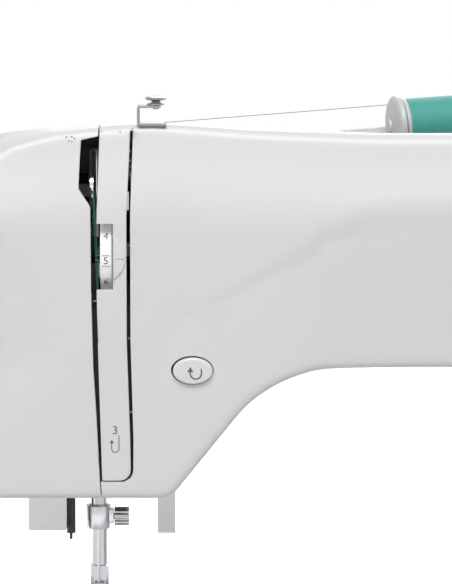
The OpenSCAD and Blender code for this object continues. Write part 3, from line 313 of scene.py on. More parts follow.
# glass-like lids, pale plastic that glows a little as painted light, and fuzzy thread
extras = {
    "clearPlastic": {"Transmission Weight": 0.85},
    "paintedLightPlastic": {"Emission Color": (0.95, 0.95, 0.96, 1), "Emission Strength": 0.16},
    "tealThread": {"Sheen Weight": 0.4, "Sheen Roughness": 0.4},
}
for name, values in extras.items():
    for label, value in values.items():
        materials[name].node_tree.nodes["Principled BSDF"].inputs[label].default_value = value
print("stage: finishes", len(materials))


def finish(obj, *names):
    obj.data.materials.clear()
    for name in names:
        obj.data.materials.append(materials[name])
    return obj


# Moulded shells of the head, arm and pillar
shell = {
    "left": -192, "right": 178, "front": -52, "back": 48, "headLow": 142.5, "armLow": 191.5, "top": 284,
    "pillar": 24, "bed": 84.3, "wall": 2.5, "voxel": 1.5, "smoothing": 8, "seam": 0.35, "split": -4,
    "band": (266, 3.2, 14), "reverse": (-98.5, 192, 15.1, 10, 0.5), "pattern": (101, 227.5, 6.5),
    "length": (101, 146, 5.5),
    # where the raised shoulder of the arm ends, from the lower left to the right
    "crease": [(-200, 134), (-171, 161.6), (-153.5, 180.5), (-137, 190.3), (-122, 201.5), (-100.7, 214.4),
               (-83.4, 222.5), (-66, 232), (-55, 238), (-46, 245), (-37, 250), (-26, 252.5), (200, 252.5)],
    "depth": [(-175, 0.10), (-120, 0.18), (-95, 0.4), (-75, 0.8), (-55, 1.3), (-35, 1.8), (0, 1.8)],
    "lens": [(180, -140), (193, -139.7), (207.5, -143), (222, -148), (237, -157), (250, -170), (270, -196)],
    # how far the top edge and the silhouette behind it drop along the machine
    "edgeDrop": [(-192, 5.5), (-160, 3.4), (-148.6, 1.9), (-133.5, 0.3), (-114.7, -1.3), (-95.8, 0),
                 (-76.9, 1.5), (-58, 2.4), (-39, 3.0), (-28, 3.4), (200, 3.4)],
    "topDrop": [(-192, 3), (-160, 2.3), (-148.6, 2.3), (-133.5, 0.9), (-114.7, 0.2), (-95.8, 0.2),
                (-76.9, 1.1), (-58, 1.4), (-39, 2.0), (-28, 2.4), (200, 2.4)],
    # a pair (place, over) is where a form fades in or out, and how slowly
    "drop": {"z": (226, 54), "edge": (-34, 12), "top": (30, 40)}, "sculpted": {"y": (-24, 20), "x": (40, 70)},
    "width": [(-175, 0.8), (-120, 1.2), (-95, 3.0), (-75, 6.0), (-50, 10.0), (-25, 14.0)],
    # soft forms of the front
    "lean": {"from": (-75, 50), "to": (30, 50), "slope": 0.1, "reach": 66},
    "undercut": {"depth": 0.45, "over": 9, "from": (-95, 30)},
    "facet": {"slope": 0.04, "reach": 24, "inner": 18, "from": (-196, 6)},
    "ridge": {"slope": 0.15, "x": (-48.7, 2.8), "z": (238, 9)},
    "turn": {"line": [(150, -171), (193, -139), (244, -171), (290, -180)], "softness": 420,
             "below": (20, 40)},
}


def creaseDistance(x, z):
    # Positive to the lower right of the crease line
    best, side = 1e9, 1
    points = shell["crease"]
    for (ax, az), (bx, bz) in zip(points, points[1:]):
        dx, dz = bx - ax, bz - az
        t = max(0.0, min(1.0, ((x - ax) * dx + (z - az) * dz) / (dx * dx + dz * dz)))
        gap = math.hypot(x - ax - t * dx, z - az - t * dz)
        if gap < best:
            best = gap
            side = -1 if dx * (z - az) - dz * (x - ax) > 0 else 1
    return best * side


def sculpt(x, z):
    # How far the front face moves back there
    gap = creaseDistance(x, z)
    back = between(x, shell["depth"]) * smoothStep(gap / between(x, shell["width"]) + 0.5)
    if gap > 0:
        # the arm's lower face leans in under the shoulder, the head's is cut under a little
        lean, under = shell["lean"], shell["undercut"]
        (start, rise), (end, fall) = lean["from"], lean["to"]
        share = smoothStep((x - start) / rise) * (1 - smoothStep((x - end) / fall))
        back += share * lean["slope"] * min(gap, lean["reach"])
        start, fade = under["from"]
        back += under["depth"] * (1 - math.exp(-gap / under["over"])) * smoothStep((start - x) / fade)
    # lens-shaped facet between the two creases at the far left
    facet = shell["facet"]
    inner = x - between(z, shell["lens"])
    if gap < 0 and inner < 0:
        start, fade = facet["from"]
        back += (facet["slope"] * min(-gap, facet["reach"]) * smoothStep(-inner / facet["inner"])
                 * smoothStep((x - start) / fade))
    # small upright ridge at the shoulder's inner corner
    ridge = shell["ridge"]
    (ridgeX, wide), (ridgeZ, high) = ridge["x"], ridge["z"]
    back += ridge["slope"] * (z - ridgeZ) * math.exp(-((x - ridgeX) / wide) ** 2 - ((z - ridgeZ) / high) ** 2)
    # the band under the top edge leans back a little more
    middle, depth, width = shell["band"]
    back += depth * (1 + math.erf((z - middle) / width)) / 2
    # the head's left side turns away above the crease
    turn = shell["turn"]
    turnAt = between(z, turn["line"])
    if x < turnAt:
        below, fade = turn["below"]
        back += (turnAt - x) ** 2 / turn["softness"] * smoothStep((below - gap) / fade)
    return back


def makeBody():
    s = shell
    low = s["bed"] - 4
    front = [(s["left"], s["headLow"], 14), (-107, s["headLow"], 5), (-67.5, s["armLow"], 45),
             (s["pillar"], s["armLow"], 24), (s["pillar"], low, 0), (s["right"], low, 0),
             (s["right"], s["top"] + 3, 26), (-116, s["top"] + 3, 200), (-158, s["top"] - 0.5, 90),
             (s["left"], s["top"] - 12, 34)]
    side = [(s["back"] + 14.8, low - 4, 0), (s["back"], 148, 60), (s["back"] - 2, s["top"] - 20, 20),
            (14, s["top"] - 7, 150), (-22, s["top"] + 0.5, 150), (s["front"] + 6, s["top"] - 0.5, 2),
            (s["front"], 250, 60), (s["front"], 148, 60), (s["front"] - 8.5, low - 4, 0)]
    plan = [(s["left"], s["front"], 24), (10, s["front"], 60), (60, s["front"] - 10, 60),
            (s["right"], s["front"] - 10, 16), (s["right"], s["back"] + 16, 20), (40, s["back"] + 16, 60),
            (0, s["back"], 60), (s["left"], s["back"], 28)]
    body = prism("body", front, "y", -80, 80)
    boolean(body, prism("sideCutter", side, "x", -200, 190), "INTERSECT")
    boolean(body, prism("planCutter", plan, "z", low - 3, 295), "INTERSECT")
    mod = body.modifiers.new("remesh", "REMESH")
    mod.mode = "VOXEL"
    mod.voxel_size = s["voxel"] * mm
    applyModifiers(body)
    bm = bmesh.new()
    bm.from_mesh(body.data)
    for _ in range(s["smoothing"]):
        bmesh.ops.smooth_vert(bm, verts=list(bm.verts), factor=0.5, use_axis_x=True, use_axis_y=True,
                              use_axis_z=True)
    drop, sculpted = s["drop"], s["sculpted"]
    (dropZ, dropOver), (edgeY, edgeOver), (topY, topOver) = drop["z"], drop["edge"], drop["top"]
    (frontY, frontOver), (sideX, sideOver) = sculpted["y"], sculpted["x"]
    for v in bm.verts:
        x, y, z = v.co / mm
        weight = smoothStep((frontY - y) / frontOver) * (1 - smoothStep((x - sideX) / sideOver))
        if weight > 0:
            v.co.y += sculpt(x, z) * weight * mm
        if z > dropZ:
            near = smoothStep((edgeY - y) / edgeOver)
            fall = (between(x, s["edgeDrop"]) * near
                    + between(x, s["topDrop"]) * (1 - near) * smoothStep((topY - y) / topOver))
            v.co.z -= fall * smoothStep((z - dropZ) / dropOver) * mm
    bm.to_mesh(body.data)
    bm.free()
    boolean(body, block("underBase", (-210, -100, 60), (200, 100, s["bed"])))
    smoothShade(body)
    print("stage: body skin", len(body.data.polygons))
    return body


# Corners of the slots, the strip between them, the lid and the spool hollow
cuts = {
    "slotLeft": [(-133.4, 149.2, 0), (-133.9, 160, 0), (-134.8, 178, 0), (-135.7, 193, 0), (-136.4, 223, 0),
                 (-136.6, 254, 3), (-141.1, 260.5, 3), (-140.6, 272, 0), (-140.2, 278.5, 0.6),
                 (-133.75, 279.9, 0.3), (-133.6, 295, 0)],
    "slotRight": [(-120.6, 295, 0), (-122, 251, 20), (-122, 203, 40), (-121, 165, 0), (-121.2, 149.2, 4.5)],
    "strip": [(-132.9, 149.7, 0), (-122, 149.7, 4), (-122.2, 165, 0), (-123.4, 203, 40), (-123.4, 251, 20),
              (-121.4, 295, 0), (-133.2, 295, 0), (-134.6, 249, 20), (-134.7, 223, 0), (-134.1, 193, 0),
              (-133.3, 165, 0)],
    "faceSeam": [(-202, 295, 0), (-202, 133, 0), (-132.4, 133, 0)],
    "window": ((-136, 222.7), (-128.5, 247.7)),
    "lid": [(-112, -28, 4), (-48, -41, 10), (166, -41, 6), (166, 34, 6), (-112, 34, 6)],
    "hollow": [(-102, -20, 6), (-46, -38, 12), (74, -38, 8), (74, 30, 10), (-102, 30, 10)],
    "hollowFloor": 268, "lidSeam": 0.15, "edge": 0.25, "edgeSteps": 2,
    "lifterSlot": ((-116, 26, 138), (-104, 60, 169)), "floorHole": ((-164.5, -14, 140), (-122, 26, 159)),
    "hub": (0, 246, 12.5), "hubX": (166, 184), "winder": (136, -8, 4), "winderZ": (255, 300),
    "openBase": {"front": 4, "back": 8, "z": (82, 90)}, "lidZ": (260, 300),
    "reach": ((-210, 200), (-100, 100), (0, 320)),
}


def grown(corners, amount):
    # The same outline with every edge moved outwards
    count = len(corners)
    out = []
    for i, (a, b, r) in enumerate(corners):
        here = Vector((a, b))
        u = (here - Vector(corners[i - 1][:2])).normalized()
        v = (Vector(corners[(i + 1) % count][:2]) - here).normalized()
        nu, nv = Vector((u.y, -u.x)), Vector((v.y, -v.x))
        move = (nu + nv) * amount / (1 + nu.dot(nv))
        out.append((a + move.x, b + move.y, max(0, r + amount) if r else 0))
    return out


def bevelEdges(obj, width, steps, angle):
    mod = obj.modifiers.new("edges", "BEVEL")
    mod.width = width * mm
    mod.segments = steps
    mod.limit_method = "ANGLE"
    mod.angle_limit = math.radians(angle)
    return mod


def softEdges(obj, width, steps=2, angle=50):
    bm = bmesh.new()
    bm.from_mesh(obj.data)
    bmesh.ops.remove_doubles(bm, verts=list(bm.verts), dist=0.00004)
    bmesh.ops.dissolve_degenerate(bm, edges=list(bm.edges), dist=0.00002)
    bm.to_mesh(obj.data)
    bm.free()
    mod = bevelEdges(obj, width, steps, angle)
    mod.use_clamp_overlap = False
    mod.harden_normals = False
    mod.miter_outer = "MITER_ARC"
    return applyModifiers(obj)


def makeShells():
    s, c = shell, cuts
    body = makeBody()
    wall = copyOf(body, "wall")
    mod = wall.modifiers.new("wall", "SOLIDIFY")
    mod.thickness = s["wall"] * mm
    mod.offset = -1
    mod.material_offset = 1
    applyModifiers(wall)
    hole = c["openBase"]
    low, high = hole["z"]
    boolean(wall, block("openBase", (s["pillar"] + s["wall"], s["front"] - hole["front"], low),
                        (s["right"] - s["wall"], s["back"] + hole["back"], high)))
    boolean(wall, block("floorHole", *c["floorHole"]))
    left = c["faceSeam"] + c["slotLeft"]
    opened = c["faceSeam"] + [c["slotLeft"][0][:2] + (0,)] + c["slotRight"][::-1]
    # face cover at the left of the take-up slot
    face = copyOf(wall, "faceCover")
    shifted = [(a - s["seam"], b, r) for a, b, r in left]
    boolean(face, prism("leftPart", shifted, "y", -90, s["split"] - s["seam"]), "INTERSECT")
    # strip between the slots, with the window of the tension dial
    strip = copyOf(wall, "threadStrip")
    boolean(strip, prism("stripPart", c["strip"], "y", -90, s["front"] + 11), "INTERSECT")
    (wx0, wz0), (wx1, wz1) = c["window"]
    boolean(strip, block("windowCut", (wx0, s["front"] - 8, wz0), (wx1, s["front"] + 9, wz1)))
    # front and rear covers
    lidCut = grown(c["lid"], c["lidSeam"])
    y, z, radius = c["hub"]
    inner, outer = c["hubX"]
    boolean(wall, rod("hubHole", (inner, y, z), (outer, y, z), radius))
    (x0, x1), (y0, y1), (z0, z1) = c["reach"]
    front = copyOf(wall, "frontCover")
    boolean(front, block("rearHalf", (x0, s["split"], z0), (x1, y1, z1)))
    boolean(front, prism("leftCut", left, "y", -91, s["split"] + 1))
    boolean(front, prism("openCut", opened, "y", -92, s["front"] + 12))
    boolean(front, prism("lidCut", lidCut, "z", *c["lidZ"]))
    rear = wall
    boolean(rear, block("frontHalf", (x0, y0, z0), (x1, s["split"] + s["seam"], z1)))
    boolean(rear, prism("lidCut", lidCut, "z", *c["lidZ"]))
    boolean(rear, block("lifterSlot", *c["lifterSlot"]))
    rear.name = "rearCover"
    # top lid with its hollow
    top = body
    boolean(top, prism("lidPart", c["lid"], "z", c["hollowFloor"] - 2.5, 300), "INTERSECT")
    boolean(top, prism("hollow", c["hollow"], "z", c["hollowFloor"], 301))
    x, y, radius = c["winder"]
    low, high = c["winderZ"]
    boolean(top, rod("winderHole", (x, y, low), (x, y, high), radius))
    top.name = "topCover"
    for piece, node in ((face, "face_cover"), (strip, "thread_strip"), (front, "front_cover"),
                        (rear, "rear_cover"), (top, "top_cover")):
        # the inner faces, set apart by the solidify's material offset, take the near-black painted shade
        finish(piece, "whitePlastic", "paintedShadeInside")
        softEdges(piece, c["edge"], c["edgeSteps"])
        if piece is front:
            x, z, wide, high, slack = s["reverse"]
            hole = ellipse("buttonHole", x - 0.2, z + 0.1, wide / 2 + slack, high / 2 + slack, -70, -40)
            boolean(front, hole, solver="EXACT")
            for x, z, radius in (s["pattern"], s["length"]):
                hole = rod("dialHole", (x, -80, z), (x, -40, z), radius)
                boolean(front, hole, solver="EXACT")
        smoothShade(piece, 40)
        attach(piece, "machine")
        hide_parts(node)
        print("stage:", piece.name, len(piece.data.polygons))
    return face, strip, front, rear, top


shells = makeShells()

# Dressing of the other parts
nodes = frame["nodes"]
bodyOf = {}
for bodyName, members in frame["record"]["behaviour"]["bodies"].items():
    for member in members:
        bodyOf[member] = bodyName

# node: finish, edge rounding in mm
edgeAngle = 40
dressing = {
    "base_shell": ("whitePlastic", 1.2), "free_arm_shell": ("whitePlastic", 0.8),
    "accessory_tray": ("whitePlastic", 0.8), "tray_lid": ("whitePlastic", 0.5),
    "base_plate": ("paleGreyPlastic", 0.8), "rubber_feet": ("rubber", 0.5),
    "handwheel": ("whitePlastic", 0.3), "pattern_dial": ("buttonPlastic", 0.5),
    "length_dial": ("buttonPlastic", 0.5),
    # the threader and the foot lifter take the glowing pale finish: painted light where they sit in shade
    "carry_handle": ("whitePlastic", 0.8), "needle_threader": ("paintedLightPlastic", 0.35),
    "buttonhole_lever": ("paleGreyPlastic", 0.4), "foot_lifter": ("paintedLightPlastic", 0.6),
    "power_switch": ("darkPlastic", 0.6), "drop_feed_lever": ("darkPlastic", 0.4),
    "take_up_lever": ("chrome", 0.25), "needle_clamp": ("turnedSteel", 0.25),
    "clamp_screw": ("groundSteel", 0.2), "presser_foot": ("chrome", 0.2),
    "presser_bar": ("turnedSteel", 0.2), "needle_bar": ("chrome", 0.3),
    "needle": ("turnedSteel", 0), "needle_plate": ("groundSteel", 0.15),
    "bobbin_cover": ("clearPlastic", 0.2), "spool_pin": ("capPlastic", 0.3),
    "bobbin_winder": ("capPlastic", 0.4), "presser_spring": ("groundSteel", 0),
    "feed_dog": ("groundSteel", 0), "main_frame": ("paintedShadeAlloy", 0.5),
    "tension_discs": ("chrome", 0.15), "motor": ("motorSteel", 0.4),
    "bobbin": ("clearPlastic", 0.1), "bobbin_case": ("darkPlastic", 0.1),
    "rotary_hook": ("groundSteel", 0.15),
}
# parts inside the machine that keep their own mesh
hidden = {
    "shaft_bushes": "sinteredBronze", "upper_shaft": "groundSteel", "needle_crank": "groundSteel",
    "needle_link": "groundSteel", "timing_pulley_upper": "gearNylon", "timing_pulley_lower": "gearNylon",
    "timing_belt": "rubber", "lower_shaft": "groundSteel", "lower_gear": "gearNylon",
    "hook_gear": "gearNylon", "motor_pulley": "groundSteel", "driven_pulley": "darkPlastic",
    "motor_belt": "rubber",
    "feed_bar": "paintedShadeAlloy", "circuit_board": "boardMask",
}


def camelName(node):
    words = node.split("_")
    return words[0] + "".join(w.capitalize() for w in words[1:])


def dress(node, finishName, width):
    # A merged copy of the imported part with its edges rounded
    bm = bmesh.new()
    bm.from_mesh(nodes[node].data)
    bmesh.ops.remove_doubles(bm, verts=list(bm.verts), dist=0.000002)
    bmesh.ops.dissolve_limit(bm, angle_limit=math.radians(0.6), verts=list(bm.verts), edges=list(bm.edges))
    piece = newObject(camelName(node), bm)
    finish(piece, finishName)
    if width:
        bevelEdges(piece, width, 2, edgeAngle)
        applyModifiers(piece)
    smoothShade(piece, 35)
    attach(piece, bodyOf[node])
    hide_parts(node)
    return piece


dressed = {node: dress(node, *values) for node, values in dressing.items()}
# the threader's rod is dark, its lever pale with a faint painted glow of light; only the rod reaches above
# this height
threader = dressed["needle_threader"].data
threader.materials.append(materials["darkPlastic"])
rodFoot = 0.16
rodLeft = min(v.co.x for v in threader.vertices if v.co.z > rodFoot)
for face in threader.polygons:
    face.material_index = int(face.center.x > rodLeft)
for node, name in hidden.items():
    nodes[node].data.materials.clear()
    nodes[node].data.materials.append(materials[name])
print("stage: dressed parts", len(dressing), "kept parts", len(hidden))


def placed(obj, body, node=None):
    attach(obj, body)
    if node:
        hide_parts(node)


def fixed(obj, finishName):
    placed(finish(obj, finishName), "machine")


# Turns a profile of (along, radius) round an axis through a place
def turned(name, profile, place, direction, segments=96):
    bm = bmesh.new()
    verts = [bm.verts.new(Vector((r, 0, a)) * mm) for a, r in profile]
    for a, b in zip(verts, verts[1:]):
        bm.edges.new((a, b))
    bmesh.ops.spin(bm, geom=list(bm.verts) + list(bm.edges), cent=(0, 0, 0), axis=(0, 0, 1),
                   dvec=(0, 0, 0), angle=math.radians(360), steps=segments, use_merge=True)
    bmesh.ops.remove_doubles(bm, verts=list(bm.verts), dist=0.000001)
    outward(bm)
    turn = Vector(direction).to_track_quat("Z", "Y").to_matrix().to_4x4()
    bmesh.ops.transform(bm, matrix=Matrix.Translation(Vector(place) * mm) @ turn, verts=list(bm.verts))
    return newObject(name, bm)


# Spool, cap and pin; profiles are (along the axis, radius)
reel = {"place": (-23, -14, 281), "turn": 15, "tilt": 2.5, "radius": 10, "length": 56, "rim": 10.4,
        "bore": 3.1, "pitch": 0.62, "ridge": 0.1, "capRadius": 11.3, "shift": 3.6, "near": (0.6, 2.2),
        "far": (1.25, 1.4), "rounding": 0.3, "nose": [(-3.6, 2.7), (-3.6, 4.6), (-3.3, 5.1)],
        "disc": [(-2.9, 2.6), (-2.6, 1.6), (-2.3, 0.8), (-1.9, 0.3), (-1.5, 0), (-0.3, 0), (0, 0.3)]}


def reelAxis():
    turn, tilt = math.radians(reel["turn"]), math.radians(reel["tilt"])
    return (math.cos(turn) * math.cos(tilt), math.sin(turn) * math.cos(tilt), math.sin(tilt))


def makeReel():
    r, axis = reel, reelAxis()
    rim, soft, bore = r["rim"], r["rounding"], r["bore"]
    a, b = r["near"]
    profile = [(a, bore), (a, rim - soft), (a + soft, rim), (b - soft, rim), (b, rim - soft)]
    start, end = b + 0.05, r["length"] - r["far"][0]
    far = r["length"] + r["far"][1]
    count = int((end - start) / r["pitch"])
    for i in range(count):
        along = start + (end - start) * i / count
        profile += [(along, r["radius"] - r["ridge"]), (along + r["pitch"] * 0.3, r["radius"]),
                    (along + r["pitch"] * 0.7, r["radius"])]
    profile += [(end, r["radius"] - r["ridge"]), (end, rim - soft), (end + soft, rim), (far - soft, rim),
                (far, rim - soft), (far, bore), (a, bore)]
    shift = r["shift"]
    profile = [(along + shift, radius) for along, radius in profile]
    spool = finish(turned("spoolOfThread", profile, r["place"], axis, 72), "tealThread", "capPlastic")
    for face in spool.data.polygons:
        along = (face.center / mm - Vector(r["place"])).dot(Vector(axis)) - shift
        face.material_index = int(not start - 0.02 < along < end + 0.02)
    smoothShade(spool, 50)
    placed(spool, "spool", "spool")
    nose = r["nose"]
    outline = nose + [(along, r["capRadius"] - less) for along, less in r["disc"]]
    outline += [(0, nose[0][1]), nose[0]]
    cap = turned("spoolCap", [(along + shift, radius) for along, radius in outline], r["place"], axis, 96)
    smoothShade(finish(cap, "capPlastic"), 40)
    placed(cap, "cap", "spool_cap")
    dressed["spool_pin"].data.transform(Matrix.Translation(Vector(axis) * shift * mm))


makeReel()

# Thread guide on the top
guide = {"x": -118.4, "y": -41, "top": 291.6, "foot": 283.9, "stud": 6, "width": 6, "thick": 1,
         "arms": (9.9, 7.8), "bend": 0.9, "edge": 0.2,
         "studProfile": [(-1.6, 0), (-1.6, 1.15), (0, 1.15), (0, 3.1), (0.25, 3.4), (0.6, 3.3), (0.95, 1.8),
                         (1.3, 1.6), (1.65, 1.8), (1.95, 3.7), (2.3, 4.1), (2.7, 4.1), (3.05, 3.6),
                         (3.25, 2.4), (3.3, 0)]}


def makeGuide():
    g = guide
    bm = bmesh.new()
    # bent strip drawn as its middle line in X and Z, then given width and thickness
    lower, upper = g["arms"]
    half = g["thick"] / 2
    left = g["x"] - 0.6
    line = [(g["x"] + lower, g["foot"] + half), (left, g["foot"] + half), (left, g["top"] - half),
            (g["x"] + upper, g["top"] - half)]
    verts = [bm.verts.new(Vector((x, g["y"] - g["width"] / 2, z)) * mm) for x, z in line]
    for a, b in zip(verts, verts[1:]):
        bm.edges.new((a, b))
    bmesh.ops.bevel(bm, geom=verts[1:3], offset=g["bend"] * mm, offset_type="OFFSET", segments=5,
                    profile=0.5, affect="VERTICES", material=-1)
    out = bmesh.ops.extrude_edge_only(bm, edges=list(bm.edges))
    farSide = [v for v in out["geom"] if isinstance(v, bmesh.types.BMVert)]
    bmesh.ops.translate(bm, verts=farSide, vec=(0, g["width"] * mm, 0))
    outward(bm)
    strip = newObject("threadGuide", bm)
    mod = strip.modifiers.new("thickness", "SOLIDIFY")
    mod.thickness = g["thick"] * mm
    mod.offset = 0
    mod = strip.modifiers.new("edges", "BEVEL")
    mod.width = g["edge"] * mm
    mod.segments = 2
    finish(applyModifiers(strip), "motorSteel")
    smoothShade(strip, 35)
    placed(strip, "machine", "thread_guide")
    profile = [(g["top"] + above, radius) for above, radius in g["studProfile"]]
    stud = finish(turned("guideStud", profile, (g["x"] + g["stud"], g["y"], 0), (0, 0, 1), 64), "studSteel")
    smoothShade(stud, 45)
    placed(stud, "machine")


makeGuide()
print("stage: thread path")

# Print on the covers
def surfaceOf(*pieces):
    bm = bmesh.new()
    for piece in pieces:
        bm.from_mesh(piece.data)
    tree = BVHTree.FromBMesh(bm)
    bm.free()
    return tree


ink = {"raise": 0.05}


def layOn(mesh, tree):
    # Lays a flat print, drawn in X and Z, on the surface behind it
    for v in mesh.vertices:
        hit = tree.ray_cast(Vector((v.co.x, -0.12, v.co.z)), Vector((0, 1, 0)))[0]
        if hit:
            v.co.y = hit.y + (ink["raise"] if v.co.y > 0 else -ink["raise"]) * mm


def textMesh(body, size):
    data = bpy.data.curves.new("text", "FONT")
    data.body = body
    data.size = size * mm
    data.extrude = ink["raise"] * mm
    data.align_x = "CENTER"
    data.align_y = "CENTER"
    data.resolution_u = 4
    mesh = meshOf(data)
    mesh.transform(Matrix.Rotation(math.radians(90), 4, "X"))
    return mesh


def strokeMesh(points, width, cyclic=False):
    data = bpy.data.curves.new("stroke", "CURVE")
    data.dimensions = "3D"
    data.bevel_depth = width / 2 * mm
    data.bevel_resolution = 1
    data.use_fill_caps = True
    line = data.splines.new("POLY")
    line.points.add(len(points) - 1)
    for point, (x, z) in zip(line.points, points):
        point.co = (x * mm, 0, z * mm, 1)
    line.use_cyclic_u = cyclic
    return meshOf(data)


def arrowHead(x, z, wide, high):
    # Triangle that points up
    bm = bmesh.new()
    bmesh.ops.create_cone(bm, cap_ends=True, segments=3, radius1=mm, radius2=mm, depth=0.1 * mm)
    turnAll(bm, 90, "X")
    bmesh.ops.scale(bm, verts=list(bm.verts), vec=(wide / 1.732, 1, high / 1.5))
    if max(bm.verts, key=lambda v: abs(v.co.z)).co.z < 0:
        turnAll(bm, 180, "Y")
    shiftAll(bm, Vector((x, 0, z)) * mm)
    mesh = bpy.data.meshes.new("arrowHead")
    bm.to_mesh(mesh)
    bm.free()
    return mesh


def joined(name, meshes):
    bm = bmesh.new()
    for mesh in meshes:
        bm.from_mesh(mesh)
    outward(bm)
    return newObject(name, bm)


def hook(x0, x1, top, low, start):
    # J-shaped stroke: down from (x1, top), round the bottom, up to (x0, start)
    radius = (x1 - x0) / 2
    middle = (x0 + x1) / 2
    turn = [(middle + radius * math.cos(a), low + radius + radius * math.sin(a))
            for a in (math.radians(-180 * i / 12) for i in range(13))]
    return [(x1, top)] + turn + [(x0, start)]


stripPrint = {"three": (-127.9, 169, 4.4), "hook": (-129.2, -126.5, 167.2, 160.7, 164.0), "line": 0.42,
              "head": (-129.2, 164.6, 1.7, 1.5)}


def makeStripPrint(tree):
    p = stripPrint
    x, z, size = p["three"]
    three = textMesh("3", size)
    three.transform(Matrix.Translation(Vector((x, 0, z)) * mm))
    mark = joined("threadingMark", [three, strokeMesh(hook(*p["hook"]), p["line"]), arrowHead(*p["head"])])
    layOn(mark.data, tree)
    fixed(mark, "greyInk")


makeStripPrint(surfaceOf(shells[1], shells[2]))

# Tension dial
dial = {"x": -131.2, "y": -35.6, "z": 235.2, "radius": 15, "width": 4.4, "bore": 1.85, "ridgeDepth": 0.22,
        "segments": 720, "pitch": 6, "first": -6.5, "step": 36, "plain": 9.5, "edge": 0.25, "size": 4.0,
        "boxed": 5, "box": (1.35, 2.1), "boxLine": 0.34}


def dialAngle(number):
    return dial["first"] + dial["step"] * (dial["boxed"] - number)


def makeDial():
    d = dial
    bm = bmesh.new()
    bmesh.ops.create_cone(bm, cap_ends=True, segments=d["segments"], radius1=d["radius"] * mm,
                          radius2=d["radius"] * mm, depth=d["width"] * mm)
    rim = [e for e in bm.edges if abs(e.verts[0].co.z - e.verts[1].co.z) < 1e-6]
    bmesh.ops.bevel(bm, geom=rim, offset=d["edge"] * mm, offset_type="OFFSET", segments=2, profile=0.5,
                    affect="EDGES", material=-1)
    turnAll(bm, 90, "Y")
    for v in bm.verts:
        angle = math.degrees(math.atan2(v.co.z, -v.co.y))
        gap = min(abs((angle - dialAngle(n) + 180) % 360 - 180) for n in range(10))
        index = round(angle / 360 * d["segments"])
        if gap > d["plain"] and index % d["pitch"] < 2:
            shrink = 1 - d["ridgeDepth"] / d["radius"]
            v.co.y *= shrink
            v.co.z *= shrink
    shiftAll(bm, Vector((d["x"], d["y"], d["z"])) * mm)
    drum = newObject("tensionDial", bm)
    bore = rod("bore", (d["x"] - 5, d["y"], d["z"]), (d["x"] + 5, d["y"], d["z"]), d["bore"])
    boolean(drum, bore)
    # the dial's even brightness is painted light from the pale glowing finish
    finish(drum, "paintedLightPlastic")
    smoothShade(drum, 25)
    placed(drum, "tension", "tension_dial")
    meshes = []
    for number in range(10):
        parts = [textMesh(str(number), d["size"])]
        if number == d["boxed"]:
            w, h = d["box"]
            parts.append(strokeMesh([(-w, -h), (w, -h), (w, h), (-w, h)], d["boxLine"], True))
        turn = math.radians(dialAngle(number))
        for mesh in parts:
            for v in mesh.vertices:
                around = turn + v.co.z / mm / d["radius"]
                radius = (d["radius"] + (ink["raise"] if v.co.y < 0 else -ink["raise"])) * mm
                v.co = Vector((d["x"] * mm + v.co.x, d["y"] * mm - radius * math.cos(around),
                               d["z"] * mm + radius * math.sin(around)))
            meshes.append(mesh)
    placed(finish(joined("dialNumbers", meshes), "greyInk"), "tension")


makeDial()

# Pointer pad beside the dial
pad = {"x": (-128.65, -123.7), "z": 235.2, "radius": 9.6, "front": -52.9, "back": -51, "edge": 0.3,
       "pointer": (-127.6, -124.4), "pointerZ": 234.6, "line": 0.35, "tip": (0.5, 0.8)}


def makePad():
    p = pad
    x0, x1 = p["x"]
    lens = rod("pointerPad", (x1 - p["radius"], p["front"], p["z"]), (x1 - p["radius"], p["back"], p["z"]),
               p["radius"], 128)
    boolean(lens, block("padCut", (x0, p["front"] - 1, p["z"] - 20), (x1 + 1, p["back"] + 1, p["z"] + 20)),
            "INTERSECT")
    softEdges(lens, p["edge"], 3)
    smoothShade(lens, 40)
    fixed(lens, "buttonPlastic")
    (a, b), z = p["pointer"], p["pointerZ"]
    tip, thick = p["tip"]
    pointer = joined("padPointer", [strokeMesh([(a, z), (b, z)], p["line"]),
                                    strokeMesh([(b - tip, z), (b, z)], thick)])
    layOn(pointer.data, surfaceOf(lens))
    fixed(pointer, "paleGreyPlastic")


makePad()

# Reverse button
button = {"front": -53.5, "back": -47, "edge": 0.9, "hook": (-0.94, 3.2, 1.0, -2.9, -0.2), "line": 0.62,
          "head": (-0.94, 0.35, 2.4, 2.0), "stem": (-48, -37, 2.5)}


def makeButton():
    b = button
    x, z, wide, high, slack = shell["reverse"]
    cap = ellipse("reverseButton", x, z, wide / 2, high / 2, b["front"], b["back"], 96)
    bm = bmesh.new()
    bm.from_mesh(cap.data)
    front = [e for e in bm.edges if all(abs(v.co.y - b["front"] * mm) < 1e-6 for v in e.verts)]
    bmesh.ops.bevel(bm, geom=front, offset=b["edge"] * mm, offset_type="OFFSET", segments=5, profile=0.5,
                    affect="EDGES", material=-1)
    stem = rod("stem", (x, b["stem"][0], z), (x, b["stem"][1], z), b["stem"][2])
    bm.from_mesh(stem.data)
    bpy.data.objects.remove(stem)
    bm.to_mesh(cap.data)
    bm.free()
    finish(cap, "buttonPlastic")
    smoothShade(cap, 40)
    placed(cap, "reverse", "reverse_button")
    x0, x1, top, low, start = b["hook"]
    head = b["head"]
    stroke = strokeMesh([(x + p, z + q) for p, q in hook(x0, x1, top, low, start)], b["line"])
    mark = joined("reverseMark", [stroke, arrowHead(x + head[0], z + head[1], head[2], head[3])])
    layOn(mark.data, surfaceOf(cap))
    placed(finish(mark, "greyInk"), "reverse")


makeButton()

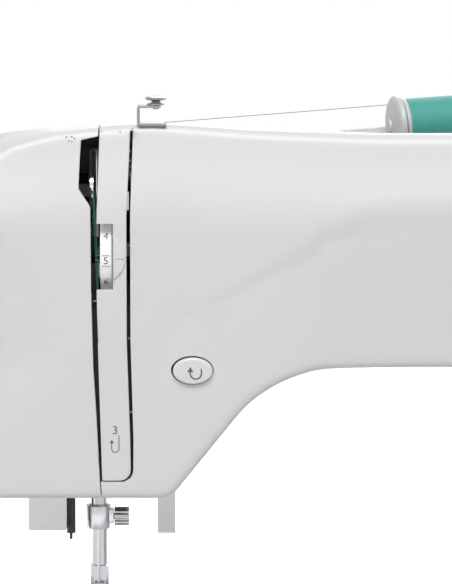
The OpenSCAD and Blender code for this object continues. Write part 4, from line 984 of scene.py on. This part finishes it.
# Strands of thread: the long one to the spool and those in the take-up slot
strands = {
    "thick": 0.27,
    "long": [(-109.5, -41, 284.9), (-23.75, -4.8, 288.2), (-22.1, -4.36, 288.3), (-18.9, -3.9, 286.4)],
    "slot": [[(-136.2, -41.5, 259.8), (-135.9, -42.5, 250), (-135.4, -42.2, 236), (-134.8, -42, 222),
              (-134.2, -41, 205), (-133.6, -40.5, 185)],
             [(-135.9, -39, 259.5), (-135.2, -42.8, 246), (-134.6, -43.2, 232), (-134.4, -42.6, 218)]],
}


def strandMesh(path, order):
    data = bpy.data.curves.new("strand", "CURVE")
    data.dimensions = "3D"
    data.bevel_depth = strands["thick"] / 2 * mm
    data.bevel_resolution = 3
    data.use_fill_caps = True
    line = data.splines.new("NURBS")
    line.points.add(len(path) - 1)
    for point, place in zip(line.points, path):
        point.co = tuple(c * mm for c in place) + (1,)
    line.use_endpoint_u = True
    line.order_u = order
    return meshOf(data)


def makeStrands():
    slotThread = joined("slotThread", [strandMesh(path, 3) for path in strands["slot"]])
    smoothShade(slotThread, 60)
    fixed(slotThread, "tealThread")
    thread = joined("spoolThread", [strandMesh(strands["long"], 2)])
    smoothShade(thread, 60)
    placed(finish(thread, "tealThread"), bodyOf["thread"], "thread")


makeStrands()

# Small things in and round the slots: nib, tab, a near-black plate of painted shade, snap ribs, marks
slotBits = {
    "tab": (-123.5, -122.5, 252.6, 259.4),
    "nib": ((-122, -46.6, 282.3), (-120.6, -45, 284.2)),
    # near-black plate behind the slots: painted shade that hides the lit parts inside
    "shade": ((-137, -46.8, 145.2), (-118, -45.8, 216)),
    "ribs": [(-135.9, -134.4, 218), (-122.8, -121.6, 270.5), (-122.8, -121.7, 268.4), (-123, -121.7, 274),
             (-123, -121.8, 203.8), (-122.6, -121.2, 175.6), (-133.4, -132.6, 159.2)],
    "ribDepth": (1.4, 3.4), "tabDepth": (0.2, 3.2), "ribHigh": 0.5, "beside": -128,
    "nibEdge": 0.35, "tabEdge": 0.2,
    "icon": [((-146.4, 279.3), (-145.7, 279.9)), ((-144.4, 280), (-143.7, 279.5)),
             ((-145.4, 278), (-144.7, 278.5)), ((-143.2, 278.6), (-143, 279.5)),
             ((-144.2, 277.6), (-143.8, 278))],
    "ticks": [(-132.9, 281.9), (-125.8, 281.7)], "tick": (0.8, 1.0), "iconLine": 0.42,
}


def makeSlotBits():
    b = slotBits
    nib = block("slotNib", *b["nib"])
    softEdges(nib, b["nibEdge"])
    fixed(nib, "whitePlastic")
    tree = surfaceOf(shells[1])

    def behind(z, depth):
        face = tree.ray_cast(Vector((b["beside"], -120, z)) * mm, Vector((0, 1, 0)))[0].y / mm
        return face + depth[0], face + depth[1]

    x0, x1, z0, z1 = b["tab"]
    y0, y1 = behind(z1, b["tabDepth"])
    tab = block("slotTab", (x0, y0, z0), (x1, y1, z1))
    softEdges(tab, b["tabEdge"])
    fixed(tab, "whitePlastic")
    # painted shade: a near-black plate behind the lower slot
    fixed(block("paintedShadePlate", *b["shade"]), "paintedShadeInside")
    bm = bmesh.new()
    for x0, x1, z in b["ribs"]:
        y0, y1 = behind(z, b["ribDepth"])
        rib = block("rib", (x0, y0, z), (x1, y1, z + b["ribHigh"]))
        bm.from_mesh(rib.data)
        bpy.data.objects.remove(rib)
    fixed(newObject("slotRibs", bm), "gearNylon")
    marks = joined("edgeMarks", [strokeMesh(list(pair), b["iconLine"]) for pair in b["icon"]]
                   + [arrowHead(x, z, *b["tick"]) for x, z in b["ticks"]])
    layOn(marks.data, surfaceOf(*shells))
    fixed(marks, "greyInk")


makeSlotBits()

# Low wall across the hollow, behind the spool's end
hollowWall = {"corners": [(-41.7, 268), (-41.7, 278), (-23.9, 279.4), (-23.9, 268)], "y": (0, 1.5),
              "edge": 0.3}
wallPiece = prism("hollowWall", [(x, z, 0) for x, z in hollowWall["corners"]], "y", *hollowWall["y"])
softEdges(wallPiece, hollowWall["edge"])
fixed(wallPiece, "whitePlastic")

# Strip that closes the front cover's foot beside the free arm, and a plate over the base's opening
foot = {"line": [(24.4, -46), (27, -46.4), (30, -47.1), (35, -48.3), (45, -51.35), (55, -53.9), (65, -56.3),
                 (72, -57.5)],
        "thickness": 2.2, "z": (84.05, 90.8), "plate": ((26, -55.4, 82.6), (72, -44, 83.95))}
footFace = [(x, y, 0) for x, y in foot["line"]]
footBack = [(x, y + foot["thickness"], 0) for x, y in reversed(foot["line"])]
fixed(prism("frontFoot", footFace + footBack, "z", *foot["z"]), "whitePlastic")
fixed(block("footPlate", *foot["plate"]), "whitePlastic")

# Ears at the back that hold the carry handle's pins
ears = {"x": [(-41, -36.5), (96.5, 101)], "y": (45, 57), "z": (240, 252), "pin": 2.75, "pinY": 52,
        "edge": 0.5}


def makeEars():
    e = ears
    parts = []
    for x0, x1 in e["x"]:
        ear = block("ear", (x0, e["y"][0], e["z"][0]), (x1, e["y"][1], e["z"][1]))
        middle = sum(e["z"]) / 2
        boolean(ear, rod("pinHole", (x0 - 1, e["pinY"], middle), (x1 + 1, e["pinY"], middle), e["pin"]))
        softEdges(ear, e["edge"])
        parts.append(ear.data)
        bpy.data.objects.remove(ear)
    piece = joined("handleEars", parts)
    smoothShade(piece, 40)
    fixed(piece, "whitePlastic")


makeEars()
print("stage: controls and print")

# Light and stage
studio = {
    "worldLevel": 0.09, "worldColour": (1, 0.97, 0.96),
    "floorColour": (0.86, 0.84, 0.835), "floorRoughness": 0.9, "floorGlow": 0.8, "floorHalf": 1.5,
    # name: place, aim, size in metres, watts, colour
    "lamps": {
        "topLamp": ((-0.2, -0.4, 1.7), (-0.05, 0, 0.2), (1.1, 0.6), 3, (0.93, 0.97, 1)),
        "frontLamp": ((-0.2, -1.15, 1.58), (-0.05, 0, 0.2), (1.5, 0.7), 26.8, (0.945, 0.985, 1)),
        "backLamp": ((0.3, 1.5, 1.1), (0, 0, 0.2), (1.2, 0.8), 11, (1, 1, 1)),
        "keyLamp": ((-1.0, -1.3, 0.8), (-0.08, 0, 0.2), (0.9, 0.9), 0.8, (1, 0.98, 0.965)),
        "fillLamp": ((0.9, -1.2, 0.6), (0.05, 0, 0.15), (0.8, 0.8), 0.3, (1, 0.98, 0.965)),
    },
}


def mathNode(tree, operation, first, second):
    node = tree.nodes.new("ShaderNodeMath")
    node.operation = operation
    tree.links.new(first, node.inputs[0])
    if isinstance(second, float):
        node.inputs[1].default_value = second
    else:
        tree.links.new(second, node.inputs[1])
    return node.outputs[0]


def seenRays(tree):
    # The ray node, and 1 for rays from the camera and from mirrors
    path = tree.nodes.new("ShaderNodeLightPath")
    return path, mathNode(tree, "MAXIMUM", path.outputs["Is Camera Ray"], path.outputs["Is Glossy Ray"])


def whiteSeen(tree, shader):
    # Camera, mirror and glass rays meet plain white, the rest meets the shader
    path, seen = seenRays(tree)
    seen = mathNode(tree, "MAXIMUM", seen, path.outputs["Is Transmission Ray"])
    mix = tree.nodes.new("ShaderNodeMixShader")
    white = tree.nodes.new("ShaderNodeBackground")
    white.inputs["Color"].default_value = (1, 1, 1, 1)
    tree.links.new(seen, mix.inputs[0])
    tree.links.new(shader.outputs[0], mix.inputs[1])
    tree.links.new(white.outputs[0], mix.inputs[2])
    return mix


def whiten(tree, shader):
    # Lifts the pale floor to white for the camera and keeps the shadows on it
    glow = mathNode(tree, "MULTIPLY", seenRays(tree)[1], studio["floorGlow"])
    shader.inputs["Emission Color"].default_value = (1, 1, 1, 1)
    tree.links.new(glow, shader.inputs["Emission Strength"])


def makeStudio():
    scene = bpy.context.scene
    scene.view_settings.view_transform = "Standard"
    world = bpy.data.worlds.new("world")
    world.use_nodes = True
    scene.world = world
    tree = world.node_tree
    dome = tree.nodes["Background"]
    dome.inputs["Color"].default_value = studio["worldColour"] + (1,)
    dome.inputs["Strength"].default_value = studio["worldLevel"]
    mix = whiteSeen(tree, dome)
    tree.links.new(mix.outputs[0], tree.nodes["World Output"].inputs["Surface"])
    for name, (place, aim, size, watts, colour) in studio["lamps"].items():
        data = bpy.data.lights.new(name, "AREA")
        data.shape = "RECTANGLE"
        data.size, data.size_y = size
        data.energy = watts
        data.color = colour
        lamp = bpy.data.objects.new(name, data)
        bpy.context.collection.objects.link(lamp)
        lamp.location = place
        lamp.rotation_mode = "QUATERNION"
        lamp.rotation_quaternion = (Vector(aim) - Vector(place)).to_track_quat("-Z", "Y")
    bm = bmesh.new()
    bmesh.ops.create_grid(bm, x_segments=2, y_segments=2, size=studio["floorHalf"])
    floor = newObject("floor", bm)
    plaster = bpy.data.materials.new("paleFloor")
    plaster.use_nodes = True
    shader = plaster.node_tree.nodes["Principled BSDF"]
    shader.inputs["Base Color"].default_value = studio["floorColour"] + (1,)
    shader.inputs["Roughness"].default_value = studio["floorRoughness"]
    whiten(plaster.node_tree, shader)
    floor.data.materials.append(plaster)


makeStudio()
print("stage: light and floor")
